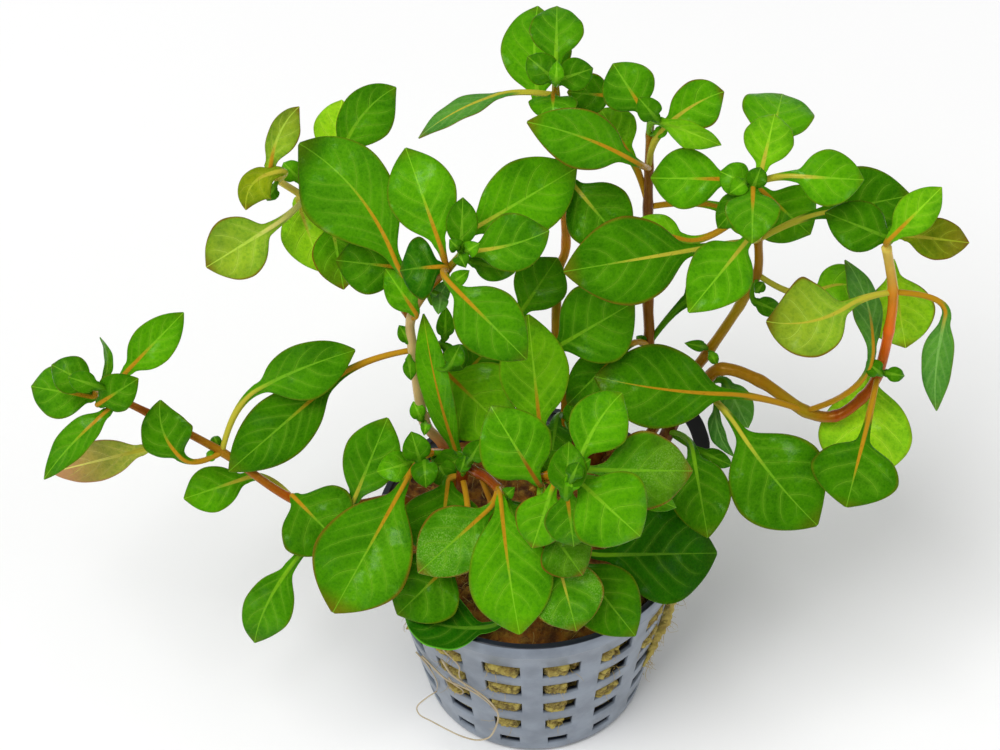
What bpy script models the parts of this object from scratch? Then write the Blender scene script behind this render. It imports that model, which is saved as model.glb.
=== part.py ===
"""Potted Ludwigia palustris: a net pot of rockwool with leafy, branching stems.

Metres, +Z up. The origin is the middle of the pot's base, on the table.
Stems and leaves are laid out along sight lines: a place is a picture point
(pixels right and down) and how near it is to the eye, in millimetres in front
of the middle of the pot's rim.
"""
import math
from collections import namedtuple

import bmesh
import bpy
import numpy as np
from mathutils import Matrix, Vector

MM = 0.001

# Pot
RIM_RADIUS = 27.0 * MM
POT_HEIGHT = 40.0 * MM
BASE_RADIUS = 20.0 * MM
LIP_HEIGHT = 3.2 * MM
LIP_STEP = 0.8 * MM
FOOT_ROUNDING = 1.6 * MM
WALL = 1.1 * MM
WINDOW_COLUMNS = 15
FIRST_COLUMN = math.radians(-14.3)
WINDOW_ROWS = ((30.3, 3.8, 0.63), (23.6, 3.8, 0.63), (17.0, 3.5, 0.61), (10.6, 3.1, 0.53), (4.2, 2.2, 0.42))
SLOT_OUTER = 15.0 * MM
SLOT_INNER = 8.5 * MM
SLOT_SHARE = 0.42

# Rockwool
WOOL_TOP = 37.0 * MM
WOOL_CROWN = 1.0 * MM
WOOL_LUMP = 0.35 * MM
WOOL_LUMPS_AROUND = (3, 5)
WOOL_LUMPS_INWARDS = (9, 4)
WOOL_RINGS = (0.35, 0.7, 0.93, 1.0)
WOOL_SIDES = 18
SOCKET_DEPTH = 5.0 * MM
SOCKET_SIDES = 6
SOCKET_FLARE = 1.3

# Clearance between touching pieces
GAP = 0.3 * MM

# Stems and leaves
STEM_STEPS = 1
FINE_STEPS = 12
STALK_WIDTH = 1.5 * MM
STALK_THICKNESS = 1.1 * MM
STALK_BEND = 0.4
STALK_SAMPLES = 41
SHORTEST_STALK = 6
BESIDE_STEM = 8
LEAF_GAP = 1.3 * GAP
BLADE_THICKNESS = 0.7 * MM
FOLD_WIDTH = 1.5 * STALK_WIDTH
SLIM_LEAF = 6.0
SLIM_SHARE = 0.5
FIRST_SINK = 0.4 * MM
SINK_STEP = 0.27 * MM
SINKS = 5
TIP_POWER, BASE_POWER = 2.0, 1.75
FOOT_HOLLOW, FOOT_REACH = 0.75, 0.26
STALK_STEPS = 2
BLADE_STEPS = (0.15, 0.38, 0.64, 0.87, 1.0)
SMALL_BLADE_STEPS = (0.28, 0.66, 1.0)
BUD_WIDTH = 3.4
BUD_STEPS = (0.5, 1.0)

# Finishes: name, colour and roughness
POT_PLASTIC = ("pot_plastic", (0.20, 0.24, 0.27), 0.45)
ROCKWOOL = ("rockwool", (0.34, 0.20, 0.05), 0.95)
STEM_BROWN = ("stem_brown", (0.30, 0.12, 0.03), 0.4)
LEAF_GREEN = ("leaf_green", (0.07, 0.26, 0.02), 0.35)
BLACK_PLASTIC = ("black_plastic", (0.012, 0.012, 0.012), 0.4)
ROOT_FIBRE = ("root_fibre", (0.45, 0.38, 0.28), 0.7)
SHARP_ANGLE = math.radians(40)

# The eye that the picture points are read from
PICTURE_MIDDLE = (500.0, 375.0)
RIM_MIDDLE_POINT = (531.5, 523.0)
PICTURE_SCALE = 5810.0
EYE_DISTANCE = 0.450
EYE_SLOPE = math.radians(47.0)
EYE_ROLL = math.radians(-2.0)

eye_turn = Matrix.Rotation(math.radians(90.0) - EYE_SLOPE, 3, "X") @ Matrix.Rotation(EYE_ROLL, 3, "Z")
EYE_RIGHT, EYE_UP, EYE_BACK = (np.array(column) for column in eye_turn.col)
RIM_MIDDLE = np.array((0.0, 0.0, POT_HEIGHT))
EYE = (RIM_MIDDLE + EYE_BACK * EYE_DISTANCE
       - EYE_RIGHT * (RIM_MIDDLE_POINT[0] - PICTURE_MIDDLE[0]) / PICTURE_SCALE
       - EYE_UP * (PICTURE_MIDDLE[1] - RIM_MIDDLE_POINT[1]) / PICTURE_SCALE)


def sighted(right_px, down_px, near_mm):
    """The point behind a picture point, so many millimetres nearer than the rim's middle."""
    depth = EYE_DISTANCE - near_mm * MM
    across = (right_px - PICTURE_MIDDLE[0]) / PICTURE_SCALE * depth / EYE_DISTANCE
    up = (PICTURE_MIDDLE[1] - down_px) / PICTURE_SCALE * depth / EYE_DISTANCE
    return EYE + EYE_RIGHT * across + EYE_UP * up - EYE_BACK * depth


# The stems stand more upright than the picture plane: each joint is nearer by this share of
# its height above the rim's middle in the picture, and brings its leaves with it
UPRIGHT = 0.25


def upright_shift(down_px):
    """How much nearer (mm) a joint at that height in the picture is than its row says."""
    return max(0.0, UPRIGHT * (RIM_MIDDLE_POINT[1] - down_px) / PICTURE_SCALE / MM)


# A stem: where it stands in the wool (mm) or the stem and joint that it branches from,
# its further joints as (right px, down px, near mm), and its radius at the foot and the tip (mm)
Stem = namedtuple("Stem", "stands joints radii")

STEMS = {
    "lower_left_stem": Stem((-17, 4), ((405, 500, 0.5), (350, 505, 4), (293, 499, 5), (222, 452, 6.5),
                                       (150, 414, 8.5), (112, 396, 10), (96, 390, 10.5)), (0.9, 0.55)),
    "left_stem": Stem((-12, 6), ((446, 452, -1), (424, 420, 2), (413, 350, 8.5), (411, 318, 12),
                                 (427, 290, 16), (447, 270, 20), (463, 252, 24)), (1.0, 0.6)),
    "upper_left_branch": Stem(("left_stem", 4), ((370, 262, 5), (340, 230, 6.5), (305, 198, 6),
                                     (278, 180, 10.5), (268, 167, 13)), (0.8, 0.5)),
    "left_side_branch": Stem(("left_stem", 1), ((430, 453, 9), (416, 464, 14)), (0.7, 0.6)),
    "fore_left_stem": Stem((-11, -3), ((462, 476, 11), (480, 474, 17.5), (498, 488, 23),
                                       (504, 496, 25)), (1.0, 0.7)),
    "front_stem": Stem((1, -7), ((540, 520, 10), (541, 480, 20), (561, 474, 30),
                                 (575, 467, 37)), (1.0, 0.6)),
    "back_stem": Stem((2, 14), ((566, 418, -5), (557, 345, 0), (558, 275, 2), (566, 243, 4),
                                (560, 165, 8), (556, 95, 13), (556, 78, 16)), (1.0, 0.55)),
    "tall_stem": Stem((8, 14), ((632, 400, -7), (648, 345, -2), (648, 300, 1), (648, 207, 7),
                                 (649, 168, 10), (650, 135, 13), (651, 116, 15)), (1.1, 0.6)),
    "right_stem": Stem((13.5, 10.5), ((672, 400, -6), (708, 352, -2), (740, 305, 2), (757, 274, 5),
                                 (758, 240, 9), (753, 205, 14), (750, 185, 17)), (1.0, 0.6)),
    "bowed_stem": Stem((18, 6.5), ((668, 432, -3), (700, 388, 0), (722, 369, 3), (760, 381, 4),
                                 (805, 411, 5), (835, 416, 5), (862, 398, 6), (878, 374, 8),
                                 (889, 330, 12), (893, 292, 16), (886, 244, 22)), (1.15, 0.8)),
}

# A leaf: the joint it grows from, the foot and tip of its blade (px), how near those are (mm),
# its width (mm), then its turn about the midrib and the fold of its halves (degrees),
# the rise and the sideways bow of the midrib (mm), and where it is widest (share of its length)
Leaf = namedtuple("Leaf", "name stem joint foot tip near wide turn fold arch sway widest",
                  defaults=(0, 12, 1.0, 0.0, 0.45))

LEAVES = (
    Leaf("low_left_leaf_1", "lower_left_stem", 4, (258, 389), (357, 351), (12, 14), 10.2, 14, 18, 1, -0.9, 0.52),
    Leaf("low_left_leaf_2", "left_stem", 3, (332, 382), (227, 473), (4.5, 2), 11, 0, 12, 1, 0, 0.5),
    Leaf("low_left_leaf_3", "lower_left_stem", 4, (181, 457), (160, 399), (11, 13), 9, -20, 12, 1, -1, 0.42),
    Leaf("low_left_leaf_4", "lower_left_stem", 3, (246, 478), (183, 499), (0, 0), 8, 0, 12, 1, 0, 0.55),
    Leaf("low_left_leaf_5", "lower_left_stem", 5, (142, 450), (48, 473), (4, 0), 6.8),
    Leaf("low_left_leaf_6", "lower_left_stem", 6, (107, 412), (43, 480), (13, 12), 6, 30),
    Leaf("low_left_leaf_7", "lower_left_stem", 6, (128, 370), (185, 311), (11, 10), 7.4, 0, 20),
    Leaf("low_left_leaf_8", "lower_left_stem", 6, (100, 403), (139, 378), (15, 16), 6.5),
    Leaf("low_left_leaf_9", "lower_left_stem", 7, (91, 385), (50, 364), (15, 14), 6.4),
    Leaf("low_left_leaf_10", "lower_left_stem", 7, (92, 397), (29, 386), (10, 8), 9.2),
    Leaf("high_left_leaf_1", "upper_left_branch", 3, (270, 228), (205, 268), (14, 14), 10.8, 0, 12, 1, 0, 0.5),
    Leaf("high_left_leaf_2", "upper_left_branch", 5, (270, 166), (300, 106), (17, 15), 5.6, 10, 24, 1, -1.2, 0.5),
    Leaf("high_left_leaf_3", "upper_left_branch", 4, (276, 172), (246, 211), (18, 18), 6.2, 0, 20, 1, 1.8, 0.5),
    Leaf("high_left_leaf_4", "upper_left_branch", 3, (298, 202), (322, 273), (4, 4), 9.4),
    Leaf("high_left_leaf_5", "upper_left_branch", 2, (332, 224), (344, 291), (8.5, 7.5), 8.4),
    Leaf("high_left_leaf_6", "upper_left_branch", 2, (333, 160), (342, 98), (5, 2), 8),
    Leaf("high_left_leaf_7", "upper_left_branch", 2, (341, 154), (398, 86), (10, 7), 9.2, 0, 14, 1, -1.4, 0.5),
    Leaf("left_leaf_1", "left_stem", 5, (396, 262), (297, 142), (19, 15), 15.4, 0, 10, 1, 2.2, 0.56),
    Leaf("left_leaf_2", "left_stem", 5, (405, 268), (334, 260), (13, 13), 10.2, 0, 12, 1, 0, 0.5),
    Leaf("left_leaf_3", "left_stem", 6, (440, 245), (405, 146), (23, 20), 11.4, 0, 12, 1, 0, 0.5),
    Leaf("left_leaf_4", "left_stem", 6, (440, 267), (399, 271), (23, 22), 10.2, 8, 5),
    Leaf("left_leaf_5", "left_stem", 4, (415, 312), (385, 268), (15, 16), 5.4),
    Leaf("left_leaf_6", "left_stem", 1, (458, 455), (422, 314), (3, 19), 5.8, -18, 20, 2, 0, 0.62),
    Leaf("left_leaf_7", "left_stem", 3, (446, 372), (510, 434), (-1, -2), 15.4, 0, 10),
    Leaf("left_leaf_8", "left_stem", 6, (455, 288), (528, 361), (30, 28), 11),
    Leaf("front_leaf_1", "front_stem", 2, (540, 428), (528, 313), (19, 20), 11.6, 0, 12, 1, 0, 0.5),
    Leaf("front_leaf_2", "front_stem", 2, (536, 480), (490, 405), (25, 27), 12.2),
    Leaf("left_leaf_9", "left_stem", 7, (470, 231), (580, 166), (20, 16), 12.8, 0, 12, 1, 0, 0.5),
    Leaf("left_leaf_10", "left_stem", 7, (474, 251), (550, 230), (26, 25), 9.6, 0, 12, 1, 0.6, 0.5),
    Leaf("back_leaf_1", "back_stem", 2, (521, 312), (558, 257), (9, 9), 9.4, 0, 12, 1, 0, 0.55),
    Leaf("back_leaf_2", "back_stem", 2, (557, 347), (636, 301), (12, 12), 14.2, 0, 12, 1, 0, 0.5),
    Leaf("tall_leaf_1", "tall_stem", 2, (620, 352), (566, 406), (6, 5), 8),
    Leaf("left_leaf_11", "left_stem", 2, (466, 374), (502, 332), (-1, -1), 7),
    Leaf("right_leaf_1", "right_stem", 5, (692, 250), (562, 272), (22, 24), 14.6, 0, 10, 1, 0, 0.5),
    Leaf("back_leaf_3", "back_stem", 5, (573, 184), (628, 250), (10, 11), 11.8, 0, 12, 1, 0, 0.48),
    Leaf("right_leaf_2", "right_stem", 5, (745, 243), (688, 313), (23, 28), 10.6),
    Leaf("right_leaf_3", "right_stem", 7, (727, 179), (649, 178), (18, 16.5), 10.2, 0, 12, 1, 0, 0.55),
    Leaf("tall_leaf_2", "tall_stem", 4, (725, 209), (768, 226), (6, 5), 6),
    Leaf("right_leaf_4", "right_stem", 6, (682, 239), (628, 224), (13, 13), 6),
    Leaf("back_leaf_4", "back_stem", 6, (538, 98), (538, 3), (9, 3), 12, 0, 12, 1, -0.6),
    Leaf("back_leaf_5", "back_stem", 7, (556, 60), (557, 4), (15.5, 12), 9),
    Leaf("tall_leaf_3", "tall_stem", 5, (628, 158), (526, 122), (19, 24), 9.8, 0, 12, 1, 0.7, 0.5),
    Leaf("tall_leaf_4", "tall_stem", 4, (628, 152), (600, 108), (11, 8), 8),
    Leaf("back_leaf_6", "back_stem", 6, (553, 96), (553, 124), (15, 17), 8),
    Leaf("back_leaf_7", "back_stem", 6, (500, 95), (417, 138), (13, 15), 5.5, 50),
    Leaf("tall_leaf_5", "tall_stem", 7, (612, 96), (566, 92), (13, 12), 6.8),
    Leaf("tall_leaf_6", "tall_stem", 7, (643, 110), (612, 62), (18, 18), 9),
    Leaf("tall_leaf_7", "tall_stem", 5, (668, 124), (726, 91), (18, 18), 8.2, 0, 12, 1, -0.6, 0.55),
    Leaf("tall_leaf_8", "tall_stem", 6, (662, 122), (722, 147), (20, 20), 5.2, 30, 16, 1, -0.9, 0.5),
    Leaf("right_leaf_5", "right_stem", 7, (769, 147), (783, 91), (15, 6), 12.4, 0, 12, 1, 0, 0.55),
    Leaf("right_leaf_6", "right_stem", 7, (762, 168), (775, 113), (22, 18), 8.2),
    Leaf("right_leaf_7", "right_stem", 7, (795, 176), (866, 180), (22, 22), 9.2),
    Leaf("right_leaf_8", "right_stem", 7, (753, 192), (752, 244), (26, 30), 8.8),
    Leaf("right_leaf_9", "right_stem", 6, (766, 194), (811, 235), (4, 1.6), 11.6),
    Leaf("right_leaf_10", "right_stem", 5, (822, 213), (912, 195), (12, 13), 13),
    Leaf("bowed_leaf_1", "bowed_stem", 11, (893, 236), (943, 186), (26, 25), 6.4),
    Leaf("bowed_leaf_2", "bowed_stem", 11, (905, 235), (971, 243), (20, 18), 6.8),
    Leaf("bowed_leaf_3", "bowed_stem", 10, (848, 306), (765, 321), (18, 18), 13.6, 0, 14, 1, -1.4, 0.5),
    Leaf("bowed_leaf_4", "bowed_stem", 10, (946, 318), (934, 413), (14, 12), 6, 30),
    Leaf("bowed_leaf_5", "bowed_stem", 10, (893, 272), (906, 349), (3, 0), 12.2, 0, 14, 1, 0, 0.5),
    Leaf("right_leaf_11", "right_stem", 4, (817, 291), (866, 292), (5, 5), 9.2, 0, 26, 1, -1.2),
    Leaf("bowed_leaf_6", "bowed_stem", 5, (872, 352), (846, 258), (15, 15), 6.4, 42, 12, 1, 0.8, 0.5),
    Leaf("bowed_leaf_7", "bowed_stem", 8, (869, 376), (862, 485), (-1, -1.5), 16.2, 0, 12, 1, 0, 0.55),
    Leaf("bowed_leaf_8", "bowed_stem", 8, (864, 438), (846, 508), (12, 15), 15, 0, 12, 1, 0, 0.55),
    Leaf("bowed_leaf_9", "bowed_stem", 5, (725, 394), (593, 376), (11, 13), 14.2, 0, 10, 1, -0.6, 0.55),
    Leaf("low_right_leaf_1", "bowed_stem", 2, (739, 430), (819, 527), (10, 13), 17, 0, 12, 1, 0.6, 0.52),
    Leaf("low_right_leaf_2", "bowed_stem", 1, (693, 452), (708, 538), (7, 15), 10.4, 0, 12, 1, 0, 0.56),
    Leaf("low_right_leaf_3", "front_stem", 1, (604, 555), (720, 553), (15, 11), 16.8, 0, 12, 1, 0, 0.5),
    Leaf("front_leaf_3", "front_stem", 4, (581, 456), (624, 391), (38, 36), 9.6, 0, 12, 1, -0.7),
    Leaf("front_leaf_4", "front_stem", 4, (600, 470), (695, 471), (35, 31), 12.6, 0, 12, 1, 0, 0.42),
    Leaf("front_leaf_5", "front_stem", 4, (580, 482), (642, 538), (40, 38), 13.6),
    Leaf("front_leaf_6", "front_stem", 3, (551, 492), (532, 549), (34, 32), 8.6),
    Leaf("front_leaf_7", "front_stem", 3, (567, 494), (574, 548), (36, 34), 8.2),
    Leaf("front_leaf_8", "front_stem", 2, (552, 533), (583, 576), (29, 29), 9),
    Leaf("front_leaf_9", "front_stem", 2, (556, 554), (577, 633), (25, 24), 12.2, 0, 12, 1, 0, 0.5),
    Leaf("front_leaf_10", "front_stem", 1, (578, 564), (637, 638), (21, 21), 11.4),
    Leaf("fore_left_leaf_1", "fore_left_stem", 3, (501, 502), (520, 636), (27, 26), 13.8, 0, 10, 1, 0.3, 0.58),
    Leaf("fore_left_leaf_2", "fore_left_stem", 3, (488, 510), (417, 574), (25, 23), 11.4),
    Leaf("fore_left_leaf_3", "fore_left_stem", 1, (448, 482), (438, 562), (10.4, 9.2), 15, 0, 10, 1, 0, 0.5),
    Leaf("fore_left_leaf_4", "left_side_branch", 2, (402, 488), (332, 614), (18, 21), 16.4, 0, 10, 1, 0, 0.6),
    Leaf("fore_left_leaf_5", "fore_left_stem", 1, (452, 562), (396, 616), (17, 16), 13),
    Leaf("fore_left_leaf_6", "fore_left_stem", 2, (484, 628), (404, 612), (15, 14.5), 10.6, 20, 12, 1, -1.4, 0.5),
    Leaf("low_left_leaf_11", "lower_left_stem", 2, (290, 567), (254, 645), (8, 2), 8.4, 0, 12, 1, 0.9, 0.5),
    Leaf("low_left_leaf_12", "lower_left_stem", 3, (294, 497), (345, 549), (7, 10), 14.4, 0, 14, 1, 0, 0.5),
    Leaf("low_left_leaf_13", "lower_left_stem", 2, (354, 500), (388, 417), (9, 13), 9.6, 0, 12, 1, 0, 0.58),
)

# Tip leaves, axil leaves and buds, fused to the stem that they grow from, as rows of the same kind
SMALL_LEAVES = (
    Leaf("", "lower_left_stem", 7, (102, 383), (101, 336), (14, 13), 3.2, 60),
    Leaf("", "lower_left_stem", 7, (97, 386), (68, 377), (18, 18), 3.8),
    Leaf("", "upper_left_branch", 4, (274, 187), (267, 201), (12, 12), 2.8),
    Leaf("", "upper_left_branch", 3, (299, 179), (283, 162), (8, 8), 4),
    Leaf("", "left_stem", 7, (461, 248), (463, 196), (27, 26), 5.4),
    Leaf("", "left_stem", 7, (474, 262), (516, 273), (21, 21), 5),
    Leaf("", "left_stem", 7, (467, 251), (480, 243), (28, 29), 2.8),
    Leaf("", "left_stem", 7, (460, 256), (466, 268), (28, 29), 2.8),
    Leaf("", "left_stem", 7, (458, 248), (449, 239), (28, 29), 2.6),
    Leaf("", "left_stem", 6, (452, 283), (470, 270), (24, 25), 2.6),
    Leaf("", "left_stem", 5, (441, 296), (438, 315), (17, 18), 2.8),
    Leaf("", "left_stem", 3, (450, 366), (460, 345), (13, 13), 3.8),
    Leaf("", "left_stem", 2, (421, 419), (413, 401), (4, 4), 2.8),
    Leaf("", "fore_left_stem", 1, (470, 460), (482, 439), (20, 21), 3.8),
    Leaf("", "fore_left_stem", 1, (466, 457), (460, 473), (17, 17), 2.8),
    Leaf("", "fore_left_stem", 4, (508, 504), (520, 531), (21, 21), 4.4),
    Leaf("", "left_side_branch", 2, (420, 461), (411, 431), (17, 18), 5),
    Leaf("", "left_side_branch", 2, (424, 461), (426, 488), (17, 18), 4.8),
    Leaf("", "left_side_branch", 2, (410, 463), (376, 472), (14, 15.5), 5.6),
    Leaf("", "left_side_branch", 1, (436, 461), (451, 486), (7, 7), 5),
    Leaf("", "front_stem", 4, (566, 494), (569, 441), (43, 43), 6.4),
    Leaf("", "front_stem", 3, (628, 488), (677, 508), (26, 24), 4.2),
    Leaf("", "front_stem", 4, (579, 467), (591, 459), (43, 44), 2.8),
    Leaf("", "front_stem", 4, (570, 470), (556, 481), (43, 43), 2.6),
    Leaf("", "front_stem", 4, (576, 475), (569, 491), (43, 43), 2.8),
    Leaf("", "back_stem", 7, (554, 79), (527, 56), (19.5, 20), 5.6),
    Leaf("", "back_stem", 7, (558, 80), (594, 68), (19.5, 19), 5.8),
    Leaf("", "back_stem", 7, (556, 82), (557, 60), (22, 23), 2.6),
    Leaf("", "tall_stem", 7, (656, 118), (638, 97), (21, 22), 4.2),
    Leaf("", "tall_stem", 2, (685, 302), (735, 262), (3, 4), 6),
    Leaf("", "right_stem", 7, (747, 184), (719, 171), (22, 22), 5.8),
    Leaf("", "right_stem", 7, (753, 188), (761, 167), (25, 25), 3.6),
    Leaf("", "right_stem", 7, (745, 196), (717, 229), (19, 19), 5.6),
    Leaf("", "right_stem", 7, (745, 182), (730, 193), (25, 25), 3.2),
    Leaf("", "right_stem", 4, (756, 302), (783, 313), (4, 4), 3.4),
    Leaf("", "bowed_stem", 8, (886, 373), (905, 376), (11, 11), 2.6),
    Leaf("", "bowed_stem", 11, (889, 238), (824, 212), (20, 19), 9),
    Leaf("", "bowed_stem", 11, (891, 237), (897, 224), (25, 25), 2.2),
    Leaf("", "bowed_stem", 2, (716, 406), (733, 458), (3, 4), 4.4, 50),
    Leaf("", "bowed_stem", 2, (726, 383), (749, 429), (-1, -1), 6),
    Leaf("", "bowed_stem", 1, (702, 452), (733, 466), (1, 1), 3.2),
)

# A blade narrower than this is fused with its stem, wider ones are leaves of their own
LARGE_LEAF = 9.5

# The loose root, and the black strip that stands in the wool, as (right px, down px, near mm)
ROOT_RADIUS = 0.35 * MM
ROOT_POINTS = ((437, 691, -9.3), (425, 699, -9), (417, 707, -9), (420, 715, -9), (431, 721, -8.5),
               (446, 729, -8), (461, 736, -7.5), (476, 740, -7.5), (488, 738, -7), (494, 731, -6),
               (498, 720, -3.2), (497, 711, -1.2), (488, 700, 0.2), (475, 690, 1.2), (462, 682, 1.8),
               (451, 674, 2.6), (442, 660, 4.8))
STRIP_WIDTH = 2.8 * MM
STRIP_THICKNESS = 0.8 * MM
STRIP_POINTS = ((650, 543, -8.5), (657, 517, -3.5), (684, 484, 1), (701, 452, -3), (698, 430, -6),
                (687, 412, -9), (672, 400, -12))


def spline(points, steps):
    """Points on a smooth curve through the given ones, so many to each stretch."""
    points = np.asarray(points, float)
    before = np.vstack((2 * points[0] - points[1], points[:-1]))
    after = np.vstack((points[1:], 2 * points[-1] - points[-2]))
    slopes = (after - before) / 2
    curve = []
    for start, end, out, into in zip(points[:-1], points[1:], slopes[:-1], slopes[1:]):
        for t in np.arange(steps) / steps:
            curve.append((2 * t**3 - 3 * t**2 + 1) * start + (t**3 - 2 * t**2 + t) * out
                         + (3 * t**2 - 2 * t**3) * end + (t**3 - t**2) * into)
    curve.append(points[-1])
    return np.array(curve)


def unit(vector):
    return vector / np.linalg.norm(vector)


def tangents(points):
    """Unit directions of a path at its points, halfway between the stretches on both sides."""
    stretches = np.diff(points, axis=0)
    stretches /= np.linalg.norm(stretches, axis=1)[:, None]
    sums = np.vstack((stretches[0], stretches[:-1] + stretches[1:], stretches[-1]))
    return sums / np.linalg.norm(sums, axis=1)[:, None]


def new_object(name, mesh):
    obj = bpy.data.objects.new(name, mesh)
    parts.objects.link(obj)
    return obj


def mesh_from(name, vertices, faces):
    mesh = bpy.data.meshes.new(name)
    mesh.from_pydata([tuple(vertex) for vertex in vertices], [], faces)
    shape = bmesh.new()
    shape.from_mesh(mesh)
    bmesh.ops.recalc_face_normals(shape, faces=shape.faces)
    bmesh.ops.triangulate(shape, faces=shape.faces)
    shape.to_mesh(mesh)
    shape.free()
    mesh.shade_smooth()
    mesh.set_sharp_from_angle(angle=SHARP_ANGLE)
    return mesh


def material(name, colour, roughness):
    finish = bpy.data.materials.new(name)
    finish.use_nodes = True
    shader = finish.node_tree.nodes["Principled BSDF"]
    shader.inputs["Base Color"].default_value = (*colour, 1.0)
    shader.inputs["Roughness"].default_value = roughness
    shader.inputs["Metallic"].default_value = 0.0
    finish.diffuse_color = (*colour, 1.0)
    return finish


def wall_radius(height):
    """The pot's outer radius at a height, from the foot to the rim."""
    return BASE_RADIUS + (RIM_RADIUS - BASE_RADIUS) * height / POT_HEIGHT


def build_pot():
    """A turned wall, lip and slotted base on one grid of rings, given its thickness by Solidify."""
    lip_foot = POT_HEIGHT - LIP_HEIGHT
    rings = [(RIM_RADIUS, POT_HEIGHT, 0.0),
             (wall_radius(lip_foot) + LIP_STEP / 2, lip_foot, 0.0),
             (wall_radius(lip_foot) - LIP_STEP / 2, lip_foot - LIP_STEP / 2, 0.0)]
    for middle, high, share in WINDOW_ROWS:
        top, bottom = (middle + high / 2) * MM, (middle - high / 2) * MM
        rings.append((wall_radius(top) - LIP_STEP / 2, top, share))
        rings.append((wall_radius(bottom) - LIP_STEP / 2, bottom, 0.0))
    foot_radius = wall_radius(FOOT_ROUNDING) - LIP_STEP / 2
    rings.append((foot_radius, FOOT_ROUNDING, 0.0))
    rings.append((foot_radius - FOOT_ROUNDING, 0.0, 0.0))
    rings.append((SLOT_OUTER, 0.0, SLOT_SHARE))
    rings.append((SLOT_INNER, 0.0, 0.0))

    pitch = 2 * math.pi / WINDOW_COLUMNS
    shares = [row[2] for row in WINDOW_ROWS]
    vertices, faces = [], []
    for index, (radius, height, share) in enumerate(rings):
        above = rings[index - 1][2] if index else 0.0
        opening = share or above or (shares[0] if height > lip_foot - LIP_STEP else shares[-1])
        for column in range(WINDOW_COLUMNS):
            middle = FIRST_COLUMN + column * pitch
            for angle in (middle - opening * pitch / 2, middle + opening * pitch / 2):
                vertices.append((radius * math.sin(angle), -radius * math.cos(angle), height))
    around = 2 * WINDOW_COLUMNS
    for ring in range(len(rings) - 1):
        for step in range(around):
            window = rings[ring][2] > 0 and step % 2 == 0
            if not window:
                after = (step + 1) % around
                faces.append((ring * around + step, (ring + 1) * around + step,
                              (ring + 1) * around + after, ring * around + after))
    last = (len(rings) - 1) * around
    faces.append(tuple(last + step for step in range(around)))
    pot = new_object("net_pot", mesh_from("net_pot", vertices, faces))
    wall = pot.modifiers.new("wall", "SOLIDIFY")
    wall.thickness = WALL
    wall.offset = -1.0
    wall.use_even_offset = True
    pot.data.materials.append(material(*POT_PLASTIC))
    return pot


def build_wool():
    """A lumpy plug that fills the pot, with a socket for each thing that stands in it."""
    around = WOOL_SIDES
    floor = WALL + GAP
    vertices, faces = [(0.0, 0.0, WOOL_TOP + WOOL_CROWN)], []
    for share in WOOL_RINGS:
        radius = (wall_radius(WOOL_TOP) - LIP_STEP / 2 - WALL - 2 * GAP) * share
        for step in range(around):
            angle = 2 * math.pi * step / around
            lump = (WOOL_LUMP * math.sin(WOOL_LUMPS_AROUND[0] * angle + WOOL_LUMPS_INWARDS[0] * share)
                    * math.cos(WOOL_LUMPS_AROUND[1] * angle - WOOL_LUMPS_INWARDS[1] * share))
            height = WOOL_TOP + WOOL_CROWN * (1 - share**2) + lump - (share == 1.0) * WOOL_CROWN
            vertices.append((radius * math.sin(angle), -radius * math.cos(angle), height))
    foot = wall_radius(floor) - LIP_STEP / 2 - FOOT_ROUNDING - WALL - 2 * GAP
    for step in range(around):
        angle = 2 * math.pi * step / around
        vertices.append((foot * math.sin(angle), -foot * math.cos(angle), floor))
    for step in range(around):
        after = (step + 1) % around
        faces.append((0, 1 + step, 1 + after))
        for ring in range(len(WOOL_RINGS)):
            here, below = 1 + ring * around, 1 + (ring + 1) * around
            faces.append((here + step, below + step, below + after, here + after))
    faces.append(tuple(1 + len(WOOL_RINGS) * around + step for step in range(around)))
    wool = new_object("rockwool_plug", mesh_from("rockwool_plug", vertices, faces))
    wool.data.materials.append(material(*ROCKWOOL))
    return wool


def cut(obj, cutter):
    cutters.objects.link(cutter)
    cutter.hide_render = True
    cutter.display_type = "WIRE"
    hole = obj.modifiers.new("socket", "BOOLEAN")
    hole.operation = "DIFFERENCE"
    hole.solver = "EXACT"
    hole.object = cutter


def tube_curve(name, points, radii):
    """A four-sided tube through the points, its ends closed."""
    curve = bpy.data.curves.new(name, "CURVE")
    curve.dimensions = "3D"
    curve.bevel_depth = 1.0
    curve.bevel_resolution = 0
    curve.use_fill_caps = True
    line = curve.splines.new("POLY")
    line.points.add(len(points) - 1)
    for point, place, radius in zip(line.points, points, radii):
        point.co = (*place, 1.0)
        point.radius = radius
    return bpy.data.objects.new(name, curve)


def as_mesh(curve_object):
    """The curve object's surface as a mesh with its caps welded on."""
    bpy.context.scene.collection.objects.link(curve_object)
    graph = bpy.context.evaluated_depsgraph_get()
    mesh = bpy.data.meshes.new_from_object(curve_object.evaluated_get(graph))
    shape = bmesh.new()
    shape.from_mesh(mesh)
    bmesh.ops.remove_doubles(shape, verts=shape.verts, dist=0.01 * MM)
    bmesh.ops.recalc_face_normals(shape, faces=shape.faces)
    bmesh.ops.triangulate(shape, faces=shape.faces)
    shape.to_mesh(mesh)
    shape.free()
    bpy.data.objects.remove(curve_object)
    return mesh


def joint_places(name):
    """The stem's joints, the first where it stands in the wool or leaves its parent stem."""
    stem = STEMS[name]
    if isinstance(stem.stands[0], str):
        parent, joint = stem.stands
        first = joint_places(parent)[joint]
    else:
        first = np.array((stem.stands[0] * MM, stem.stands[1] * MM, WOOL_TOP - SOCKET_DEPTH))
    joints = [sighted(right, down, near + upright_shift(down)) for right, down, near in stem.joints]
    return np.array([first] + joints)


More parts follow.
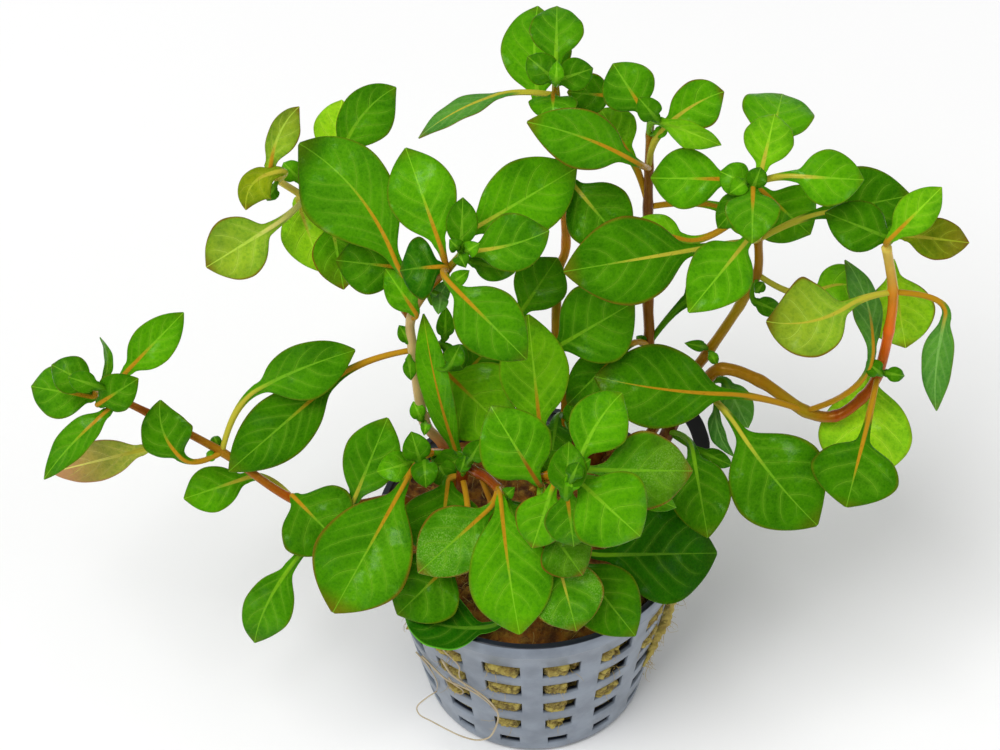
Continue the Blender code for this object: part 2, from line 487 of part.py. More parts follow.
def leaf_shift(leaf):
    """How much nearer (mm) a leaf is than its row says, as its joint is."""
    return upright_shift(STEMS[leaf.stem].joints[leaf.joint - 1][1])


def stem_axis(name, steps):
    """The stem's middle line and its radius along it."""
    axis = spline(joint_places(name), steps)
    radii = np.linspace(STEMS[name].radii[0], STEMS[name].radii[1], len(axis)) * MM
    return axis, radii


def clear_from(path, axis, distance):
    """The first point of a path from which all of it stays that far from an axis."""
    away = np.linalg.norm(path[:, None] - axis[None], axis=2).min(axis=1)
    inside = np.nonzero(away < distance)[0]
    return inside[-1] + 1 if len(inside) else 0


def grain_at(stem, joint):
    """The stem's direction where it reaches a joint."""
    places = joint_places(stem)
    return unit(places[joint] - places[joint - 1])


def outline(t, widest):
    """Half the blade's width as a share of its greatest: one minus a power of the distance from
    the widest place, hollowed beside the foot, where the blade runs down into the stalk."""
    towards_foot = 1 - np.clip((widest - t) / widest, 0, 1)**BASE_POWER
    towards_foot = towards_foot * (1 - FOOT_HOLLOW * np.exp(-(t / widest / FOOT_REACH)**2))
    towards_tip = 1 - np.clip((t - widest) / (1 - widest), 0, 1)**TIP_POWER
    return np.where(t < widest, towards_foot, towards_tip)


def stalk_line(start, foot, lead):
    """Points along the stalk's arc, which comes into the foot of the blade along its midrib."""
    handle = foot - lead * np.linalg.norm(foot - start) * STALK_BEND
    t = np.linspace(0, 1, STALK_SAMPLES)[:, None]
    return (1 - t)**2 * start + 2 * t * (1 - t) * handle + t**2 * foot


def leaf_sections(leaf, fused, sunk=0.0):
    """Centres, side and face directions, half widths and half thicknesses along stalk and blade."""
    start = joint_places(leaf.stem)[leaf.joint] - grain_at(leaf.stem, leaf.joint) * sunk
    shift = leaf_shift(leaf)
    foot, tip = sighted(*leaf.foot, leaf.near[0] + shift), sighted(*leaf.tip, leaf.near[1] + shift)
    wide = leaf.wide * (MM - MM * shift * MM / EYE_DISTANCE)
    along = unit(tip - foot)
    to_eye = unit(EYE - (foot + tip) / 2)
    face = unit(to_eye - along * (to_eye @ along))
    side = np.cross(along, face)
    turn = math.radians(leaf.turn)
    face, side = face * math.cos(turn) + side * math.sin(turn), side * math.cos(turn) - face * math.sin(turn)
    bow = (face * leaf.arch + side * leaf.sway) * MM

    steps, stalk_steps = BLADE_STEPS, STALK_STEPS
    if fused:
        steps, stalk_steps = SMALL_BLADE_STEPS if leaf.wide > BUD_WIDTH else BUD_STEPS, 1
    steps = np.array(steps)[:, None]
    blade = foot + (tip - foot) * steps + 4 * steps * (1 - steps) * bow

    stalk = stalk_line(start, foot, unit(tip - foot + 4 * bow))
    first = 0
    if not fused:
        axis, radii = stem_axis(leaf.stem, FINE_STEPS)
        nearest = np.linalg.norm(axis - start, axis=1).argmin()
        lean = abs(grain_at(leaf.stem, leaf.joint) @ unit(stalk[BESIDE_STEM] - start))
        first = clear_from(stalk, axis, radii[nearest] + LEAF_GAP + STALK_WIDTH / 2 * lean)
        for other in fused_leaves(leaf.stem):
            if other.joint == leaf.joint:
                centres, _, _, halves, _ = leaf_sections(other, True)
                line = np.linspace(centres[0], centres[1], FINE_STEPS)
                first = max(first, clear_from(stalk, line, halves[0] + STALK_WIDTH / 2 + LEAF_GAP))
        first = min(first, STALK_SAMPLES - 1 - SHORTEST_STALK)
    picks = np.linspace(first, STALK_SAMPLES - 1, stalk_steps + 1).round().astype(int)
    centres = np.vstack((stalk[picks], blade))

    directions = tangents(centres)
    faces = [face]
    for direction in directions[::-1]:
        faces.insert(0, unit(faces[0] - direction * (direction @ faces[0])))
    faces = np.array(faces[:-1])
    sides = np.cross(directions, faces)

    slim = SLIM_SHARE + (1 - SLIM_SHARE) * min(1.0, leaf.wide / SLIM_LEAF)
    stalk_half = STALK_WIDTH / 2 * slim
    halves = np.concatenate((np.full(stalk_steps + 1, stalk_half),
                             wide / 2 * outline(steps[:, 0], leaf.widest) + stalk_half * (1 - steps[:, 0])**3))
    thick = np.concatenate((np.full(stalk_steps + 1, STALK_THICKNESS * slim),
                            BLADE_THICKNESS + (1 - steps[:, 0])**4 * (STALK_THICKNESS - BLADE_THICKNESS)))
    return centres, sides, faces, halves, thick / 2


def loft(name, rings, tip=None):
    """A closed skin over rings of corners, ending in a point where a tip is given."""
    count, corners = rings.shape[:2]
    vertices = list(rings.reshape(-1, 3))
    loops = [tuple(range(corners))]
    for ring in range(count - 1):
        for corner in range(corners):
            here, after = ring * corners + corner, ring * corners + (corner + 1) % corners
            loops.append((here, after, after + corners, here + corners))
    last = (count - 1) * corners
    if tip is None:
        loops.append(tuple(range(last, last + corners)))
    else:
        vertices.append(tip)
        for corner in range(corners):
            loops.append((last + corner, last + (corner + 1) % corners, count * corners))
    return mesh_from(name, vertices, loops)


def leaf_mesh(name, leaf, fused, sunk=0.0):
    """A loft of sections whose corners are the left edge, the top of the midrib (not on a fused
    leaf), the right edge and the underside of the midrib."""
    centres, sides, faces, halves, thick = leaf_sections(leaf, fused, sunk)
    fold = math.radians(leaf.fold) * np.clip(halves / FOLD_WIDTH, 0, 1)
    out = sides * (halves * np.cos(fold))[:, None]
    up = faces * (halves * np.sin(fold))[:, None]
    ridge = faces * thick[:, None]
    if fused:
        section = (centres - out + up + ridge / 2, centres + out + up + ridge / 2, centres - ridge)
    else:
        section = (centres - out + up, centres + ridge, centres + out + up, centres - ridge)
    return loft(name, np.stack(section, axis=1)[:-1], centres[-1])


def fused_leaves(stem):
    rows = [leaf for leaf in LEAVES if leaf.stem == stem and leaf.wide < LARGE_LEAF]
    return rows + [leaf for leaf in SMALL_LEAVES if leaf.stem == stem]


def build_stem(name, finish):
    """The stem's tube with its small leaves joined on by Boolean union."""
    axis, radii = stem_axis(name, STEM_STEPS)
    parent = STEMS[name].stands[0]
    if isinstance(parent, str):
        fine, fine_radii = stem_axis(name, FINE_STEPS)
        parent_axis, parent_radii = stem_axis(parent, FINE_STEPS)
        first = clear_from(fine, parent_axis, parent_radii[0] + 2 * GAP + fine_radii[0] / 2)
        axis = np.vstack((fine[first], axis[first * STEM_STEPS // FINE_STEPS + 1:]))
        radii = np.linspace(fine_radii[0], fine_radii[-1], len(axis))
    stem = new_object(name, as_mesh(tube_curve(name, axis, radii)))
    stem.data.materials.append(finish)
    for index, leaf in enumerate(fused_leaves(name)):
        sunk = FIRST_SINK + SINK_STEP * (index % SINKS)
        piece = bpy.data.objects.new(f"{name}_joined_{index}", leaf_mesh("joined", leaf, True, sunk))
        cutters.objects.link(piece)
        piece.hide_render = True
        piece.display_type = "WIRE"
        union = stem.modifiers.new("joined", "BOOLEAN")
        union.operation = "UNION"
        union.solver = "EXACT"
        union.object = piece
    return stem


def build_strip():
    """A flat plastic strip swept along its path, its broad side to the eye."""
    points = np.array([sighted(*point) for point in STRIP_POINTS])
    path = spline(points, 2)
    directions = tangents(path)
    sides = np.cross(directions, EYE_BACK)
    sides /= np.linalg.norm(sides, axis=1)[:, None]
    faces = np.cross(sides, directions)
    corners = [path + sides * across * STRIP_WIDTH / 2 + faces * up * STRIP_THICKNESS / 2
               for across, up in ((-1, -1), (1, -1), (1, 1), (-1, 1))]
    strip = new_object("black_strip", loft("black_strip", np.stack(corners, axis=1)))
    strip.data.materials.append(material(*BLACK_PLASTIC))
    return path


def socket_cutter(name, foot, direction, radius):
    """A pin around a foot in the wool, open at the top."""
    mesh = bpy.data.meshes.new(name)
    shape = bmesh.new()
    length = 3 * SOCKET_DEPTH
    bmesh.ops.create_cone(shape, cap_ends=True, segments=SOCKET_SIDES, radius1=radius,
                          radius2=radius * SOCKET_FLARE, depth=length)
    turn = Vector((0, 0, 1)).rotation_difference(Vector(direction)).to_matrix().to_4x4()
    centre = Vector(foot) + Vector(direction) * (length / 2 - GAP)
    bmesh.ops.transform(shape, matrix=Matrix.Translation(centre) @ turn, verts=shape.verts)
    shape.to_mesh(mesh)
    shape.free()
    return bpy.data.objects.new(name, mesh)


for old in list(bpy.data.objects):
    bpy.data.objects.remove(old)

parts = bpy.data.collections.new("potted_ludwigia_palustris")
cutters = bpy.data.collections.new("cutters")
bpy.context.scene.collection.children.link(parts)
bpy.context.scene.collection.children.link(cutters)

build_pot()
rockwool = build_wool()
strip_path = build_strip()
cut(rockwool, socket_cutter("strip_socket", strip_path[0], unit(strip_path[1] - strip_path[0]),
                            STRIP_WIDTH / 2 + 2.5 * GAP))

stem_brown = material(*STEM_BROWN)
leaf_green = material(*LEAF_GREEN)
for stem_name in STEMS:
    build_stem(stem_name, stem_brown)
    if not isinstance(STEMS[stem_name].stands[0], str):
        line, line_radii = stem_axis(stem_name, FINE_STEPS)
        cut(rockwool, socket_cutter(f"{stem_name}_socket", line[0], unit(line[1] - line[0]),
                                    line_radii[0] + 2 * GAP))
for row in LEAVES:
    if row.wide >= LARGE_LEAF:
        blade_object = new_object(row.name, leaf_mesh(row.name, row, False))
        blade_object.data.materials.append(leaf_green)

root_line = np.array([sighted(*point) for point in ROOT_POINTS])
loose_root = new_object("loose_root", as_mesh(tube_curve("loose_root", root_line,
                                                        np.full(len(root_line), ROOT_RADIUS))))
loose_root.data.materials.append(material(*ROOT_FIBRE))
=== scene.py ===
# %% [markdown]
# # A potted water purslane
# A net pot of rockwool carries ten leafy stems of Ludwigia palustris. The packed solids are
# loaded first and stay where they are: they say where each piece is, and the fine surfaces
# made below take their places. Every length is in metres, so MM turns millimetres into them.

import math
from collections import namedtuple

import bpy
import numpy as np
from mathutils import Matrix, Vector


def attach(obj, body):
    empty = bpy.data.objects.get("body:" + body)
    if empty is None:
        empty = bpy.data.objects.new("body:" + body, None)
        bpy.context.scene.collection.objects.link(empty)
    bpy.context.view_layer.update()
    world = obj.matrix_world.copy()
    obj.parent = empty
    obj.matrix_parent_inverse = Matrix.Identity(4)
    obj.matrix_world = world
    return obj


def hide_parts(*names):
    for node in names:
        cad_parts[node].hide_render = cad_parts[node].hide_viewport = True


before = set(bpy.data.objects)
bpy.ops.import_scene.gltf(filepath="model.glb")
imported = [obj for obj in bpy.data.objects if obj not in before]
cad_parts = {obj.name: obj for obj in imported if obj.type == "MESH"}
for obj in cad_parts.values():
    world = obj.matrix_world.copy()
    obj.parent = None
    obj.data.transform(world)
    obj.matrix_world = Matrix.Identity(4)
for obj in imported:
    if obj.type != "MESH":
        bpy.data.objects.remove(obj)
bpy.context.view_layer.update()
MM = 0.001

# %% [markdown]
# ## The eye
# The plant is seen from half a metre away, looking down at 47 degrees. Its leaves were laid
# out along the sight lines of this eye, so the eye is settled first: a distance, a slope, a
# small roll, and the picture point where the middle of the pot's rim is seen. The camera then
# stands at the eye, and its lens follows from how many picture points a metre covers there.

# %% Eye and camera
POT_HEIGHT = 40.0 * MM
PICTURE_WIDTH = 1000.0
PICTURE_MIDDLE = (500.0, 375.0)
RIM_MIDDLE_POINT = (531.5, 523.0)
PICTURE_SCALE = 5810.0
EYE_DISTANCE = 0.450
EYE_SLOPE = math.radians(47.0)
EYE_ROLL = math.radians(-2.0)
SENSOR_WIDTH = 36.0
NEAREST, FARTHEST = 0.01, 10.0

eye_turn = Matrix.Rotation(math.radians(90.0) - EYE_SLOPE, 3, "X") @ Matrix.Rotation(EYE_ROLL, 3, "Z")
EYE_RIGHT, EYE_UP, EYE_BACK = (np.array(column) for column in eye_turn.col)
EYE = (np.array((0.0, 0.0, POT_HEIGHT)) + EYE_BACK * EYE_DISTANCE
       - EYE_RIGHT * (RIM_MIDDLE_POINT[0] - PICTURE_MIDDLE[0]) / PICTURE_SCALE
       - EYE_UP * (PICTURE_MIDDLE[1] - RIM_MIDDLE_POINT[1]) / PICTURE_SCALE)

camera_lens = bpy.data.cameras.new("camera")
camera_lens.sensor_width = SENSOR_WIDTH
camera_lens.lens = SENSOR_WIDTH * PICTURE_SCALE * EYE_DISTANCE / PICTURE_WIDTH
camera_lens.clip_start = NEAREST
camera_lens.clip_end = FARTHEST
camera = bpy.data.objects.new("camera", camera_lens)
camera.matrix_world = Matrix.Translation(EYE) @ eye_turn.to_4x4()
bpy.context.scene.collection.objects.link(camera)
bpy.context.scene.camera = camera
print(f"camera of {camera_lens.lens:.1f} mm at {EYE.round(3)}")

# %% [markdown]
# ## Light
# The plant stands in the soft white light of a product photo: a wide panel up to the left, a
# fainter one to the right, and white surroundings that fill the shadows. A wide panel gives
# glossy leaves broad, soft highlights.

# %% Light
LIT_PLACE = Vector((0.0, 0.0, 0.06))
WHITE = (1.0, 1.0, 1.0, 1.0)
SURROUNDINGS = 0.43
# Each square panel: where it hangs, its width in metres and its power in watts
PANELS = {"key_panel": ((-0.80, -0.75, 2.20), 1.60, 47.0), "side_panel": ((1.50, -0.60, 1.10), 0.90, 4.0)}

for name, (place, width, power) in PANELS.items():
    lamp = bpy.data.lights.new(name, "AREA")
    lamp.size = width
    lamp.energy = power
    light = bpy.data.objects.new(name, lamp)
    light.location = place
    light.rotation_euler = (LIT_PLACE - light.location).to_track_quat("-Z", "Y").to_euler()
    bpy.context.scene.collection.objects.link(light)
world = bpy.data.worlds.new("white_surroundings")
world.use_nodes = True
surroundings = world.node_tree.nodes["Background"]
surroundings.inputs["Color"].default_value = WHITE
surroundings.inputs["Strength"].default_value = SURROUNDINGS
bpy.context.scene.world = world
bpy.context.scene.view_settings.view_transform = "Standard"
print(len(PANELS), "panels of light")

# %% [markdown]
# ## Materials
# Every finish is a small net of shader nodes around one Principled shader. A net reads better
# as a sum than as boxes and wires, so this class adds a node for each step of the sum and
# hands back its output. Patterns read Object coordinates, or values that are stored on the
# mesh, so they stay on the surface wherever the eye goes.

# %% Node helper
class Finish:
    """A material, and short ways of adding nodes to it."""

    def __init__(self, name, roughness):
        self.material = bpy.data.materials.new(name)
        self.material.use_nodes = True
        self.tree = self.material.node_tree
        self.shader = self.tree.nodes["Principled BSDF"]
        self.give("Roughness", roughness)
        self.places = self.tree.nodes.new("ShaderNodeTexCoord").outputs["Object"]

    def join(self, value, socket):
        """Puts a number, a colour or another node's output into a socket."""
        if isinstance(value, bpy.types.NodeSocket):
            self.tree.links.new(value, socket)
        elif socket.type == "RGBA":
            socket.default_value = (*value, 1.0)
        else:
            socket.default_value = value

    def give(self, name, value):
        """Puts a value into one of the shader's own sockets."""
        self.join(value, self.shader.inputs[name])

    def calc(self, operation, *values):
        """One step of arithmetic."""
        step = self.tree.nodes.new("ShaderNodeMath")
        step.operation = operation
        for value, socket in zip(values, step.inputs):
            self.join(value, socket)
        return step.outputs["Value"]

    def ease(self, value, low, high, start=0.0, end=1.0):
        """A smooth rise from start to end while the value goes from low to high."""
        step = self.tree.nodes.new("ShaderNodeMapRange")
        step.interpolation_type = "SMOOTHSTEP"
        for given, name in ((value, "Value"), (low, "From Min"), (high, "From Max"),
                            (start, "To Min"), (end, "To Max")):
            self.join(given, step.inputs[name])
        return step.outputs["Result"]

    def blend(self, share, under, over, mode="MIX"):
        """One colour over another by a share."""
        step = self.tree.nodes.new("ShaderNodeMix")
        step.data_type = "RGBA"
        step.blend_type = mode
        sockets = [socket for socket in step.inputs if socket.enabled]
        for value, socket in zip((share, under, over), sockets):
            self.join(value, socket)
        return [socket for socket in step.outputs if socket.enabled][0]

    def noise(self, grain, detail=3.0, places=None, roughness=0.5):
        """Cloudy noise from 0 to 1, whose lumps are about so long."""
        step = self.tree.nodes.new("ShaderNodeTexNoise")
        self.join(self.places if places is None else places, step.inputs["Vector"])
        step.inputs["Scale"].default_value = 1.0 / grain
        step.inputs["Detail"].default_value = detail
        step.inputs["Roughness"].default_value = roughness
        return step.outputs["Fac"]

    def cell_walls(self, grain):
        """Distance to the walls between cells that are about so wide."""
        step = self.tree.nodes.new("ShaderNodeTexVoronoi")
        step.feature = "DISTANCE_TO_EDGE"
        self.join(self.places, step.inputs["Vector"])
        step.inputs["Scale"].default_value = 1.0 / grain
        return step.outputs["Distance"]

    def stored(self, name):
        """The colour and the alpha of a colour that is stored on the mesh."""
        step = self.tree.nodes.new("ShaderNodeAttribute")
        step.attribute_name = name
        return step.outputs["Color"], step.outputs["Alpha"]

    def split(self, vector):
        """The three numbers of a vector."""
        step = self.tree.nodes.new("ShaderNodeSeparateXYZ")
        self.join(vector, step.inputs["Vector"])
        return tuple(step.outputs)

    def stored_numbers(self, name):
        """The three numbers of a vector that is stored on the mesh."""
        step = self.tree.nodes.new("ShaderNodeAttribute")
        step.attribute_name = name
        return self.split(step.outputs["Vector"])

    def stretched(self, scale):
        """Object coordinates, stretched by three factors."""
        step = self.tree.nodes.new("ShaderNodeMapping")
        self.join(self.places, step.inputs["Vector"])
        step.inputs["Scale"].default_value = scale
        return step.outputs["Vector"]

    def bump(self, height, distance, strength=1.0):
        """Fine relief, so many metres deep."""
        step = self.tree.nodes.new("ShaderNodeBump")
        self.join(height, step.inputs["Height"])
        step.inputs["Distance"].default_value = distance
        step.inputs["Strength"].default_value = strength
        self.give("Normal", step.outputs["Normal"])


print("ways of adding nodes:", [name for name in vars(Finish) if not name.startswith("_")])

# %% [markdown]
# ## Floor
# The floor is a plain pale sheet, big enough that its edge is never seen. Its tone has faint
# clouds, as painted board has.

# %% Floor
FLOOR_REACH = 3.0
FLOOR_TONES = (0.93, 0.93, 0.93), (0.95, 0.95, 0.95)

floor_finish = Finish("pale_floor", roughness=0.9)
floor_finish.give("Base Color", floor_finish.blend(floor_finish.noise(grain=80 * MM), *FLOOR_TONES))
floor_mesh = bpy.data.meshes.new("floor")
floor_mesh.from_pydata([(-FLOOR_REACH, -FLOOR_REACH, 0), (FLOOR_REACH, -FLOOR_REACH, 0),
                        (FLOOR_REACH, FLOOR_REACH, 0), (-FLOOR_REACH, FLOOR_REACH, 0)], [], [(0, 1, 2, 3)])
floor_mesh.materials.append(floor_finish.material)
floor = bpy.data.objects.new("floor", floor_mesh)
bpy.context.scene.collection.objects.link(floor)
print("floor", FLOOR_REACH * 2, "m wide")

# %% [markdown]
# ## Surfaces from rings
# Stems, roots and leaves are all the same kind of thing: a closed ring of points that changes
# as it goes along a path. numpy works out all rings at once as one array of places, from which
# the second cell makes a mesh: four-sided faces between neighbouring rings, and a fan of
# triangles that closes each end. Values such as colours are stored on the same points.

# %% Paths and rings
def spline(points, steps):
    """Points on a smooth curve through the given ones, so many to each stretch: a cubic whose
    slope at each given point is half the way from the point before to the point after."""
    points = np.asarray(points, float)
    padded = np.vstack((2 * points[0] - points[1], points, 2 * points[-1] - points[-2]))
    slopes = (padded[2:] - padded[:-2]) / 2
    t = (np.arange(steps) / steps)[None, :, None]
    curve = ((2 * t**3 - 3 * t**2 + 1) * points[:-1, None] + (t**3 - 2 * t**2 + t) * slopes[:-1, None]
             + (3 * t**2 - 2 * t**3) * points[1:, None] + (t**3 - t**2) * slopes[1:, None])
    return np.vstack((curve.reshape(-1, points.shape[1]), points[-1:]))


def unit(vectors):
    """The same directions, each 1 long."""
    return vectors / np.linalg.norm(vectors, axis=-1, keepdims=True)


def bell(x):
    """1 at 0, falling smoothly to 0 on both sides: e to the power of minus x squared."""
    return np.exp(-x**2)


def carried_frame(path, face):
    """Directions to the right of and out of a path. The face direction given for the far end
    is carried back to the start, leaned square to the path at each point."""
    ahead = unit(np.gradient(path, axis=0))
    faces = np.empty_like(path)
    for place in range(len(path) - 1, -1, -1):
        face = unit(face - ahead[place] * (ahead[place] @ face))
        faces[place] = face
    return np.cross(ahead, faces), faces


def round_rings(path, radii, sides):
    """Circles square to a path: the place at an angle is the path's point, minus the cosine
    times the radius to the right, plus the sine times the radius towards the eye."""
    right, faces = carried_frame(path, EYE_BACK)
    angle = 2 * np.pi * np.arange(sides) / sides
    return (path[:, None] - np.cos(angle)[None, :, None] * right[:, None] * radii[:, None, None]
            + np.sin(angle)[None, :, None] * faces[:, None] * radii[:, None, None])


print("a bend through 3 points:", spline([(0, 0), (1, 1), (2, 0)], 2).round(2).tolist())

# %% Meshes and pieces
def stacked(*values):
    """Arrays of x, y and z, or of any three values, as one array of triples."""
    return np.stack(np.broadcast_arrays(*values), axis=-1)


def skin(name, rings):
    """A closed mesh over rings of points. Each ring runs from the left over the face side to the
    right and back underneath, so that all faces point outwards."""
    count, around = rings.shape[:2]
    index = np.arange(count * around).reshape(count, around)
    after = np.roll(index, -1, axis=1)
    quads = np.stack((index[:-1], after[:-1], after[1:], index[1:]), axis=-1).reshape(-1, 4)
    ends = np.full(around, count * around)
    first_fan = np.stack((ends, after[0], index[0]), axis=-1)
    last_fan = np.stack((ends + 1, index[-1], after[-1]), axis=-1)
    points = np.vstack((rings.reshape(-1, 3), rings[0].mean(axis=0), rings[-1].mean(axis=0)))
    mesh = bpy.data.meshes.new(name)
    mesh.from_pydata(points.tolist(), [], quads.tolist() + first_fan.tolist() + last_fan.tolist())
    mesh.shade_smooth()
    return mesh


def store(mesh, name, values):
    """Stores numbers on a skin's points, three (a vector) or four (a colour) to a point. The two
    points that close the ends take the values beside them."""
    kind, field = ("FLOAT_COLOR", "color") if values.shape[-1] == 4 else ("FLOAT_VECTOR", "vector")
    rows = values.reshape(-1, values.shape[-1])
    rows = np.vstack((rows, values[0, 0], values[-1, 0])).astype(np.float32)
    mesh.attributes.new(name, kind, "POINT").data.foreach_set(field, rows.ravel())


def finish_piece(name, mesh, finish, slot, *nodes):
    """Puts a mesh in the scene as a piece that rides on the plant and stands for these solids."""
    piece = bpy.data.objects.new(name, mesh)
    piece.data.materials.append(finish.material)
    bpy.context.scene.collection.objects.link(piece)
    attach(piece, "root")
    if nodes:
        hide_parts(*nodes)
    return piece


def merged(name, meshes):
    """Several meshes as one, with the values stored on their points kept."""
    objects = [bpy.data.objects.new("loose", mesh) for mesh in meshes]
    for loose in objects:
        bpy.context.scene.collection.objects.link(loose)
    with bpy.context.temp_override(active_object=objects[0], object=objects[0],
                                   selected_objects=objects, selected_editable_objects=objects):
        bpy.ops.object.join()
    mesh = objects[0].data
    mesh.name = name
    bpy.data.objects.remove(objects[0])
    return mesh


print("stacked:", stacked(1, 2, 3))

# %% [markdown]
# ## Where the stems go
# A place on the plant is given the way one points at it: a point of the picture, right and
# down, and how much nearer than the middle of the rim it is, in millimetres. The real stems
# stand more upright than they look from above, so each joint also comes nearer by a quarter of
# its height in the picture, and brings its leaves with it. A stem lists the place where it
# stands in the wool, or the stem and joint that it branches from, then its joints, and its
# radii at the foot and the tip.

# %% Stem joints
UPRIGHT = 0.25
WOOL_TOP = 37.0 * MM
SOCKET_DEPTH = 5.0 * MM


def sighted(right_px, down_px, near_mm):
    """The point behind a picture point, so many millimetres nearer than the rim's middle."""
    depth = EYE_DISTANCE - near_mm * MM
    across = (right_px - PICTURE_MIDDLE[0]) / PICTURE_SCALE * depth / EYE_DISTANCE
    up = (PICTURE_MIDDLE[1] - down_px) / PICTURE_SCALE * depth / EYE_DISTANCE
    return EYE + EYE_RIGHT * across + EYE_UP * up - EYE_BACK * depth


def upright_shift(down_px):
    """How much nearer (mm) a joint at that height in the picture is than its row says."""
    return max(0.0, UPRIGHT * (RIM_MIDDLE_POINT[1] - down_px) / PICTURE_SCALE / MM)


Stem = namedtuple("Stem", "stands joints radii")
STEMS = {
    "lower_left_stem": Stem((-17, 4), ((405, 500, 0.5), (350, 505, 4), (293, 499, 5), (222, 452, 6.5),
                                       (150, 414, 8.5), (112, 396, 10), (96, 390, 10.5)), (0.9, 0.55)),
    "left_stem": Stem((-12, 6), ((446, 452, -1), (424, 420, 2), (413, 350, 8.5), (411, 318, 12),
                                 (427, 290, 16), (447, 270, 20), (463, 252, 24)), (1.0, 0.6)),
    "upper_left_branch": Stem(("left_stem", 4), ((370, 262, 5), (340, 230, 6.5), (305, 198, 6),
                                                 (278, 180, 10.5), (268, 167, 13)), (0.8, 0.5)),
    "left_side_branch": Stem(("left_stem", 1), ((430, 453, 9), (416, 464, 14)), (0.7, 0.6)),
    "fore_left_stem": Stem((-11, -3), ((462, 476, 11), (480, 474, 17.5), (498, 488, 23),
                                       (504, 496, 25)), (1.0, 0.7)),
    "front_stem": Stem((1, -7), ((540, 520, 10), (541, 480, 20), (561, 474, 30), (575, 467, 37)), (1.0, 0.6)),
    "back_stem": Stem((2, 14), ((566, 418, -5), (557, 345, 0), (558, 275, 2), (566, 243, 4),
                                (560, 165, 8), (556, 95, 13), (556, 78, 16)), (1.0, 0.55)),
    "tall_stem": Stem((8, 14), ((632, 400, -7), (648, 345, -2), (648, 300, 1), (648, 207, 7),
                                (649, 168, 10), (650, 135, 13), (651, 116, 15)), (1.1, 0.6)),
    "right_stem": Stem((13.5, 10.5), ((672, 400, -6), (708, 352, -2), (740, 305, 2), (757, 274, 5),
                                      (758, 240, 9), (753, 205, 14), (750, 185, 17)), (1.0, 0.6)),
    "bowed_stem": Stem((18, 6.5), ((668, 432, -3), (700, 388, 0), (722, 369, 3), (760, 381, 4),
                                   (805, 411, 5), (835, 416, 5), (862, 398, 6), (878, 374, 8),
                                   (889, 330, 12), (893, 292, 16), (886, 244, 22)), (1.15, 0.8)),
}


def joint_places(name):
    """The stem's joints, the first where it stands in the wool or leaves its parent stem."""
    stem = STEMS[name]
    if isinstance(stem.stands[0], str):
        parent, joint = stem.stands
        first = joint_places(parent)[joint]
    else:
        first = np.array((stem.stands[0] * MM, stem.stands[1] * MM, WOOL_TOP - SOCKET_DEPTH))
    joints = [sighted(right, down, near + upright_shift(down)) for right, down, near in stem.joints]
    return np.array([first] + joints)


# %% [markdown]
# ## Stems
# A stem is a fleshy round shoot, a little thicker at each joint, where a pair of leaves grows.
# It could be a curve with a round bevel, but a curve can't swell at its joints by a formula,
# so it is a ring carried along a smooth path. Its colour runs along it: brown or red where it
# is old, yellow-green at the young tip. The colours are stored on the points, and the
# material adds fine streaks, darker blotches and a soft gloss.

# %% Stem colours
BROWN, UMBER, RED_BROWN = (0.105, 0.026, 0.003), (0.22, 0.070, 0.003), (0.33, 0.062, 0.002)
OLIVE_BROWN, OLIVE, PALE_BARK = (0.30, 0.140, 0.003), (0.37, 0.25, 0.006), (0.58, 0.43, 0.17)
RED, ORANGE_RED, ORANGE = (0.19, 0.022, 0.003), (0.70, 0.120, 0.005), (0.62, 0.22, 0.006)
PALE_YELLOW, YOUNG = (0.74, 0.60, 0.100), (0.20, 0.33, 0.008)
STREAK_TONE, BLOTCH_TONE = (0.60, 0.30, 0.03), (0.08, 0.025, 0.003)

# The colours of each stem: one where it starts and one for each of its joints
STEM_COLOURS = {
    "lower_left_stem": (UMBER, UMBER, UMBER, RED_BROWN, OLIVE_BROWN, RED_BROWN, OLIVE_BROWN, YOUNG),
    "left_stem": (OLIVE_BROWN, RED_BROWN, PALE_BARK, PALE_BARK, PALE_BARK, OLIVE_BROWN, UMBER, YOUNG),
    "upper_left_branch": (UMBER, OLIVE, OLIVE_BROWN, PALE_YELLOW, PALE_YELLOW, YOUNG),
    "left_side_branch": (UMBER, ORANGE, YOUNG),
    "fore_left_stem": (PALE_BARK, RED, RED, RED_BROWN, YOUNG),
    "front_stem": (UMBER, UMBER, OLIVE_BROWN, ORANGE, YOUNG),
    "back_stem": (UMBER, OLIVE_BROWN, OLIVE_BROWN, OLIVE, ORANGE, OLIVE_BROWN, OLIVE, YOUNG),
    "tall_stem": (BROWN, BROWN, UMBER, UMBER, BROWN, UMBER, OLIVE_BROWN, YOUNG),
    "right_stem": (BROWN, UMBER, OLIVE_BROWN, OLIVE, OLIVE_BROWN, OLIVE_BROWN, OLIVE, YOUNG),
    "bowed_stem": (BROWN, BROWN, UMBER, OLIVE_BROWN, OLIVE_BROWN, OLIVE, RED_BROWN, RED_BROWN, RED_BROWN,
                   ORANGE_RED, ORANGE, PALE_YELLOW),
}
STREAKS_SHOW, BLOTCHES_SHOW = (0.45, 0.80, 0.0, 0.18), (0.45, 0.75, 0.0, 0.22)


def colour_run(colours, t):
    """The colour at shares t of the way through evenly spaced colours, with alpha 1."""
    stops = np.linspace(0, 1, len(colours))
    channels = [np.interp(t, stops, channel) for channel in zip(*colours)]
    return np.stack(channels + [np.ones_like(t)], axis=-1)


